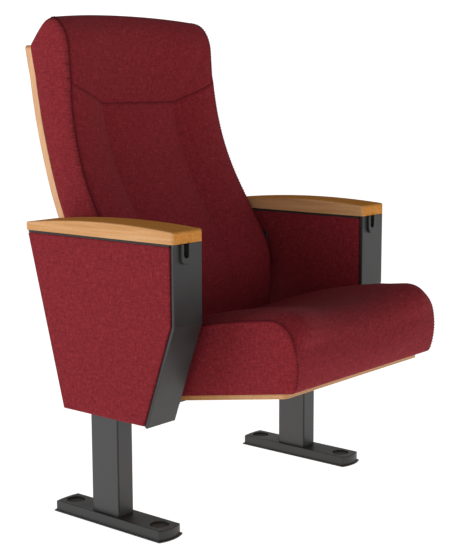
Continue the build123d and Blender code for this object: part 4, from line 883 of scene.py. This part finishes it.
BACK_ENDS, ROLL_ROWS, CHANNEL_ROW = 8, 14, 14
BACK_SIDE_SWELL, BACK_SIDE_SWELL_IN = 0.0015, 0.03
GATHER_REACH = 0.032         # how far the pleats run from the front seam
SHELL_GAP = 0.0006


def back_half_width(z):
    """Half the back's width at a height: straight, drawn in above, and rounded at the top corners."""
    share = clamp((z - TAPER_FROM) / (TAPER_TO - TAPER_FROM))
    width = BACK_HALF_WIDTH - BACK_TAPER * share * (1 + 0.6 * share * (1 - share) * (1 - 2 * share))
    up = z - (BACK_TOP_Z - BACK_TOP_CROWN - BACK_CORNER_R)
    if up > 0:
        width -= BACK_CORNER_R - math.sqrt(max(BACK_CORNER_R ** 2 - up * up, 0.0))
    return width


def dish_at(x):
    """How far the front lies behind its side edges, across the width."""
    x = abs(x)
    if x <= CHANNEL_X:
        return DISH - CENTRE_CROWN * (1 - (x / CHANNEL_X) ** 2)
    share = min(1.0, (x - CHANNEL_X) / (CUSHION_X - CHANNEL_X))
    return DISH * (1 - math.sin(share * math.pi / 2)) - BOLSTER_SWELL * math.sin(share * math.pi)


def head_dish_at(x, width):
    """The same above the head seam: one even hollow from side to side."""
    return DISH * (0.5 + 0.5 * math.cos(math.pi * min(abs(x) / width, 1.0) ** 1.3))


def shell_front_y(z):
    """The y of the cushion's rear face at a height, just in front of the shell."""
    bend_r = SHELL_BEND_R - SHELL_THICKNESS - SHELL_GAP
    meet_z = bend_centre[2] - bend_r * math.sin(SHELL_LEAN)
    if z > meet_z:
        return bend_centre[1] + math.sqrt(bend_r ** 2 - (z - bend_centre[2]) ** 2)
    return bend_centre[1] + bend_r * math.cos(SHELL_LEAN) - (meet_z - z) * math.tan(SHELL_LEAN)


key = {name: (LUMBAR_Y + back, LUMBAR_TOP_Z + above) for name, (back, above,
    share) in PROFILE.items()}
front_line = arc(key["lumbar"], key["lumbar_mid"], key["slope"], 20) + [key["slope"]]
front_line += arc(key["bend"], key["bend_mid"], key["head"], 60) + [key["head"], (CREST_Y, CREST_Z)]
front_line = np.array(front_line)
share_z = [LUMBAR_TOP_Z + above for back, above, share in PROFILE.values()]
share_of = [share for back, above, share in PROFILE.values()]


def front_y(z, dish):
    """The front face's y at a height up to the crest, for a depth of dish."""
    return float(np.interp(z, front_line[:, 1], front_line[:, 0]) + np.interp(z, share_z,
        share_of) * dish)


front_rows = list(np.linspace(BACK_BOTTOM_Z, 0.800, 42)) + [0.810, 0.818, 0.8245, 0.829, 0.8315,
    SEAM_MIDDLE_Z]
front_rows += [0.8345, 0.837, 0.8415, 0.848, 0.857] + list(np.linspace(0.868, CREST_Z, 8))
SEAM_ROW = front_rows.index(SEAM_MIDDLE_Z)
BACK_LONGS = len(front_rows) - 1 + ROLL_ROWS
middle_x = [CHANNEL_X * k for k in (0, 0.11, 0.22, 0.33, 0.44, 0.55, 0.66, 0.76, 0.85, 0.92, 0.97,
    1.0)]
bolster_shares = [0.03, 0.075, 0.14, 0.23, 0.33, 0.43, 0.53, 0.63, 0.73, 0.82, 0.89]
BACK_HALF_COLUMNS = len(middle_x) + len(bolster_shares) + len(EDGE_GAPS) + 1


def column_x(k, width):
    """The x of column k, counted from the middle, where the back is so wide."""
    if k < len(middle_x):
        return middle_x[k]
    k -= len(middle_x)
    if k < len(bolster_shares):
        return CHANNEL_X + bolster_shares[k] * (width - CHANNEL_X)
    k -= len(bolster_shares)
    return width - (EDGE_GAPS + (SEAM_IN,))[k]


def seam_lift(x, z):
    """How far a row rises to follow the V of the head seam."""
    share = clamp((x - CHANNEL_X) / (SEAM_SPAN - CHANNEL_X))
    below = clamp((z - 0.60) / 0.210)
    above = clamp((CREST_Z - z) / (CREST_Z - 0.857))
    return share * (SEAM_SIDE_Z - SEAM_MIDDLE_Z) * min(below, above)


def back_column(k):
    """One column: under the foot, up the front, over the top, and down the slope and the shell."""
    front, over = [], []
    for base in front_rows:
        z = base + seam_lift(column_x(k, SEAM_SPAN), base)
        x = column_x(k, back_half_width(z))
        seam = HEAD_SEAM_DEPTH * math.exp(-((base - SEAM_MIDDLE_Z) / HEAD_SEAM_HALF) ** 2)
        seam *= min(max((back_half_width(z) - x) / 0.02, 0.15), 1.0)
        reach = clamp((SEAM_MIDDLE_Z - base) / 0.03) * clamp((base - 0.44) / 0.15)
        channel = reach * CHANNEL_DEPTH * math.exp(-((x - CHANNEL_X) / CHANNEL_HALF) ** 2)
        above = clamp((base - SEAM_MIDDLE_Z + 0.004) / 0.024)
        dish = dish_at(x) + (head_dish_at(x,
            back_half_width(z)) - dish_at(x)) * above * above * (3 - 2 * above)
        front.append((x, front_y(z, dish) + seam + channel, z))
    top_z = BACK_TOP_Z - BACK_TOP_CROWN * (column_x(k, SEAM_SPAN) / SEAM_SPAN) ** 2
    rear_y, crest_y = shell_front_y(SHELL_TOP_Z), front[-1][1]
    peak_y = (rear_y + crest_y) / 2
    for i in range(1, ROLL_ROWS + 1):
        turn = math.pi / 2 * i / ROLL_ROWS
        z = CREST_Z + (top_z - CREST_Z) * math.sin(turn)
        over.append((column_x(k, back_half_width(z)),
            crest_y + (peak_y - crest_y) * (1 - math.cos(turn)), z))
    for i in range(1, BACK_ENDS + 1):
        share = i / BACK_ENDS
        z = top_z + (SHELL_TOP_Z - top_z) * share ** 1.2
        y = peak_y + (rear_y - peak_y) * share + 0.002 * math.sin(math.pi * share)
        over.append((column_x(k, back_half_width(z)), y, z))
    rear = []
    for i in range(1, BACK_LONGS + 1):
        z = SHELL_TOP_Z + (BACK_BOTTOM_Z - SHELL_TOP_Z) * i / BACK_LONGS
        rear.append((column_x(k, back_half_width(z)), shell_front_y(z), z))
    foot = [(rear[-1][0], y, BACK_BOTTOM_Z) for y, z in line(rear[-1][1:], front[0][1:], BACK_ENDS)]
    made = foot + front + over + rear[:-1]
    gap = (EDGE_GAPS + (SEAM_IN,))[k - BACK_HALF_COLUMNS] if k >= BACK_HALF_COLUMNS - 4 else EDGE_R
    drop = SEAM_IN if k == BACK_HALF_COLUMNS - 1 else recess(gap)
    if drop > 0:
        # the rounding of the sewn edge, square to the outline, from the foot to the foot of the slope
        for i in range(BACK_ENDS, 2 * BACK_ENDS + BACK_LONGS):
            dy, dz = (made[i + 1][n] - made[i - 1][n] for n in (1, 2))
            size = math.hypot(dy, dz)
            moved = (made[i][1] + drop * dz / size, made[i][2] - drop * dy / size)
            made[i] = (made[i][0], *moved)
    return made


half = [back_column(k) for k in range(BACK_HALF_COLUMNS)]
wrap = [[(-x, y, z) for x, y, z in column] for column in reversed(half[1:])] + half
back_rim = []
for i, (x, y, z) in enumerate(half[-1]):
    # the full outline, before the seam drew the edge column in
    dy, dz = (half[-1][(i + 1) % len(half[-1])][n] - half[-1][i - 1][n] for n in (1, 2))
    size = math.hypot(dy, dz)
    shift = SEAM_IN if BACK_ENDS <= i < 2 * BACK_ENDS + BACK_LONGS else 0.0
    back_rim.append((y - shift * dz / size, z + shift * dy / size))


def back_side_point(side, p, q, inset):
    """The same on the back's side panels."""
    out = back_half_width(q) - recess(inset) + BACK_SIDE_SWELL * min(inset / BACK_SIDE_SWELL_IN,
        1.0)
    return (side * out, p, q)


back_cushion, back_number = sewn_cover(
    "back_cushion_cover", wrap, back_rim, back_side_point, BACK_ENDS, BACK_LONGS,
    lengths_round([(y, z) for x, y, z in half[0]]))
held = [0.0] * len(back_cushion.data.vertices)
for c, column in enumerate(back_number):
    from_middle, gone = abs(c - BACK_HALF_COLUMNS + 1), min(c, len(back_number) - 1 - c)
    for r, i in enumerate(column):
        row = r - BACK_ENDS
        held[i] = max(0.0, 0.75 - 0.2 * gone)
        if gone == 0 or row <= 0 or row >= BACK_LONGS + BACK_ENDS:
            held[i] = 1.0
        elif abs(row - SEAM_ROW) <= 1:
            held[i] = 1.0 if row == SEAM_ROW else max(held[i], 0.6)
        elif row < SEAM_ROW and from_middle in (len(middle_x) - 1, len(middle_x) - 2,
            len(middle_x)):
            held[i] = 0.9 if from_middle == len(middle_x) - 1 else 0.5
head_seam = [column[BACK_ENDS + SEAM_ROW] for column in back_number[2:-2]]
side_seams = [column[BACK_ENDS:BACK_ENDS + BACK_LONGS + 1] for column in (back_number[0],
    back_number[-1])]
channel_columns = [BACK_HALF_COLUMNS - 1 + side * (len(middle_x) - 1) for side in (-1, 1)]
channels = [back_number[c][BACK_ENDS + CHANNEL_ROW:BACK_ENDS + SEAM_ROW] for c in channel_columns]
# painted shade in the grooves of the seams and, lighter, of the channels
back_seams = [(head_seam, 1.0, 0.0014)] + [(run, 1.0, 0.0040) for run in side_seams]
mark_seams(back_cushion, back_seams + [(run, 0.25, 0.0014) for run in channels])
# the side panels are gathered into their front seams: fine pleats that die out within a few centimetres
spots = np.array([v.co[:] for v in back_cushion.data.vertices])
on_side = np.arange(len(spots)) >= sum(len(column) for column in back_number)
front_seam = spots[side_seams[0]][:, 1:]
reach = np.array([np.linalg.norm(front_seam - spot[1:], axis=1).min() for spot in spots])
pleat_share = np.where(on_side, np.clip(1 - reach / GATHER_REACH, 0, 1), 0.0)
back_cushion.data.attributes.new("gathered", "FLOAT", "POINT").data.foreach_set("value",
    pleat_share)
fill_with_foam(back_cushion, held, BACK_SLACK, BACK_CAP)
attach(back_cushion, "stand")
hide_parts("back_cushion")


# ---- Stitching ------------------------------------------------------------------------------------
# The side seams are overstitched: short dark stitches of 1.3 mm cord cross them every 6 to 7 mm. The head
# seam has a row of plain stitches in 0.9 mm thread, sunk in its groove.

# Bonded polyester thread: smooth, dark burgundy, with a faint twist drawn 1 mm apart.
bonded_thread, shader, place = new_finish("bonded_polyester_thread")
twist = noise(place, 1000.0, 2.0)
plain(shader, twist, (0.3, "#40080d"), (0.7, "#5c1016"), bumps=(0.3, 0.0002),
    more={"Roughness": 0.75, "Specular IOR Level": 0.15})

stitches = bpy.data.node_groups.new("stitches_along_a_seam", "GeometryNodeTree")
stitches.interface.new_socket(name="Seam", in_out="INPUT", socket_type="NodeSocketGeometry")
stitches.interface.new_socket(name="Stitches", in_out="OUTPUT", socket_type="NodeSocketGeometry")
sizes = {}
for label, value in (("Spacing", 0.0055), ("Stitch Length", 0.0040), ("Thread Width", 0.0009),
    ("Turn", 0.0), ("Lift", 0.0)):
    socket = stitches.interface.new_socket(name=label, in_out="INPUT",
        socket_type="NodeSocketFloat")
    socket.default_value = value
    sizes[label] = socket.identifier
given = add(stitches, "NodeGroupInput").outputs


def stitch(kind, sockets=None, **settings):
    """One step of the stitches' making, and what it gives."""
    return add(stitches, kind, sockets, **settings).outputs[0]


seam_curve = stitch("GeometryNodeMeshToCurve", {0: given["Seam"]})
spaced = stitch("GeometryNodeResampleCurve", {0: seam_curve, "Length": given["Spacing"]},
    mode="LENGTH")
out_of = stitch("GeometryNodeInputNamedAttribute", {"Name": "out_of_cloth"},
    data_type="FLOAT_VECTOR")
raised = vector_op("SCALE", out_of, given["Lift"])
laid = stitch("GeometryNodeSetPosition", {"Geometry": spaced, "Offset": raised})
upright = stitch("FunctionNodeAlignRotationToVector", {"Vector": out_of}, axis="Z")
tangent = stitch("GeometryNodeInputTangent")
turned = stitch("FunctionNodeAlignRotationToVector", {"Rotation": upright, "Vector": tangent},
    axis="X", pivot_axis="Z")
wander = add(stitches, "FunctionNodeRandomValue", {2: -0.22, 3: 0.22, "Seed": 7},
    data_type="FLOAT").outputs[1]
angle = value_op("ADD", given["Turn"], wander)
spin = stitch("ShaderNodeCombineXYZ", {2: angle})
spun = stitch("FunctionNodeRotateRotation", {0: turned, 1: spin}, rotation_space="LOCAL")
grain = stitch("GeometryNodeMeshUVSphere", {"Segments": 6, "Rings": 5, "Radius": 0.5})
extent = stitch("ShaderNodeCombineXYZ", {0: given["Stitch Length"], 1: given["Thread Width"],
    2: given["Thread Width"]})
strand = stitch("GeometryNodeTransform", {"Geometry": grain, "Scale": extent})
placed = stitch("GeometryNodeInstanceOnPoints", {"Points": laid, "Instance": strand,
    "Rotation": spun})
real = stitch("GeometryNodeRealizeInstances", {0: placed})
smoothed = stitch("GeometryNodeSetShadeSmooth", {"Geometry": real})
dyed = stitch("GeometryNodeSetMaterial", {"Geometry": smoothed, "Material": bonded_thread})
add(stitches, "NodeGroupOutput", {0: dyed})


def sew(name, cover, runs, body, **values):
    """Stitches along runs of a cover's own points, as one piece that rides on the cover's body."""
    corners, links, outs = [], [], []
    for run in runs:
        links += [(len(corners) + k, len(corners) + k + 1) for k in range(len(run) - 1)]
        corners += [cover.data.vertices[i].co.copy() for i in run]
        outs += [cover.data.vertices[i].normal.copy() for i in run]
    data = bpy.data.meshes.new(name + "_line")
    data.from_pydata(corners, links, [])
    data.attributes.new("out_of_cloth", "FLOAT_VECTOR", "POINT").data.foreach_set("vector",
        [value for v in outs for value in v])
    piece = link_piece(name, data)
    sewing = piece.modifiers.new("sewing", "NODES")
    sewing.node_group = stitches
    for label, value in values.items():
        sewing[sizes[label.replace("_", " ").title()]] = value
    made = bpy.data.meshes.new_from_object(finished(piece))
    piece.modifiers.remove(sewing)
    piece.data = made
    made.name = name
    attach(piece, body)
    return piece


seat_runs = [column[1:SEAT_ENDS + SEAT_LONGS + 1] for column in (seat_number[0], seat_number[-1])]
sew("seat_side_stitches", seat_cushion, seat_runs, "seat", spacing=0.0060, stitch_length=0.0060,
    thread_width=0.0013, turn=math.pi / 2, lift=0.0006)
back_runs = [column[BACK_ENDS + 2:BACK_ENDS + BACK_LONGS + 1] for column in (back_number[0],
    back_number[-1])]
sew("back_side_stitches", back_cushion, back_runs, "stand", spacing=0.0068, stitch_length=0.0075,
    thread_width=0.0013, turn=math.pi / 2, lift=0.0006)
sew("head_seam_stitches", back_cushion, [head_seam], "stand", spacing=0.0048, stitch_length=0.0038,
    turn=0.0, lift=0.0003)


# ---- Studio ---------------------------------------------------------------------------------------
# A white floor and a white surround that is dimmer overhead, a broad soft light behind the chair on its
# left and a weaker one in front on its right. The camera stands to its front left, above the arms.
floor_paint, shader, place = new_finish("matt_white_studio_floor")
scuff = noise(place, 3.0, 3.0)
plain(shader, scuff, (0.3, "#a8a8a8"), (0.7, "#b0b0b0"), more={"Roughness": 0.9,
    "Emission Color": (1.0, 1.0, 1.0, 1.0), "Emission Strength": 0.93})
FLOOR_REACH = 60.0
ground = bpy.data.meshes.new("studio_floor")
corners = [(x * FLOOR_REACH, y * FLOOR_REACH, 0.0) for x, y in ((-1, -1), (1, -1), (1, 1), (-1, 1))]
ground.from_pydata(corners, [], [(0, 1, 2, 3)])
ground.materials.append(floor_paint)
floor = link_piece("studio_floor", ground)
floor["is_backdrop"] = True

surround = bpy.data.worlds.new("pale_surround")
surround.use_nodes = True
scene.world = surround
tree = surround.node_tree
tree.nodes.clear()
direction = add(tree, "ShaderNodeTexCoord").outputs["Generated"]
height = split(direction)["Z"]
sky = ramp(height, (0.0, 1.0), (0.08, 1.0), (0.3, 0.38), (0.6, 0.17), (1.0, 0.14))
light = add(tree, "ShaderNodeBackground", {"Color": sky, "Strength": 1.15}).outputs[0]
add(tree, "ShaderNodeOutputWorld", {"Surface": light})


def soft_light(name, place, aim, size, power):
    """A square area light at a place, facing a point."""
    lamp = bpy.data.lights.new(name, "AREA")
    lamp.shape, lamp.size, lamp.energy = "SQUARE", size, power
    holder = link_piece(name, lamp)
    holder.location = place
    holder.rotation_euler = (Vector(aim) - Vector(place)).to_track_quat("-Z", "Y").to_euler()


soft_light("key_light", (-2.7, 2.0, 1.2), (0.0, 0.0, 0.6), 2.0, 34.0)
soft_light("front_fill", (1.3, -3.2, 0.9), (0.0, 0.0, 0.4), 2.0, 4.8)
scene.view_settings.view_transform = "Standard"

# The camera's turn and tilt, and its focal length for a picture 560 pixels high.
FOCAL_PIXELS, FRAME_HEIGHT, SENSOR = 1246.76, 560, 36.0
CAMERA_PLACE = (-2.0194, -1.7160, 0.8798)
AZIMUTH, PITCH, ROLL = math.radians(-50.09), math.radians(-9.08), math.radians(-0.23)
view = bpy.data.cameras.new("front_left_view")
view.sensor_width = SENSOR
view.lens = FOCAL_PIXELS / FRAME_HEIGHT * SENSOR
view.clip_end = 100.0
camera = link_piece("front_left_view", view)
ahead = Vector((-math.sin(AZIMUTH) * math.cos(PITCH), math.cos(AZIMUTH) * math.cos(PITCH),
    math.sin(PITCH)))
level = Vector((math.cos(AZIMUTH), math.sin(AZIMUTH), 0.0))
upward = level.cross(ahead)
right = level * math.cos(ROLL) + upward * math.sin(ROLL)
top = upward * math.cos(ROLL) - level * math.sin(ROLL)
turned = Matrix((right, top, -ahead)).transposed().to_4x4()
camera.matrix_world = Matrix.Translation(CAMERA_PLACE) @ turned
scene.camera = camera

low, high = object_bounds()
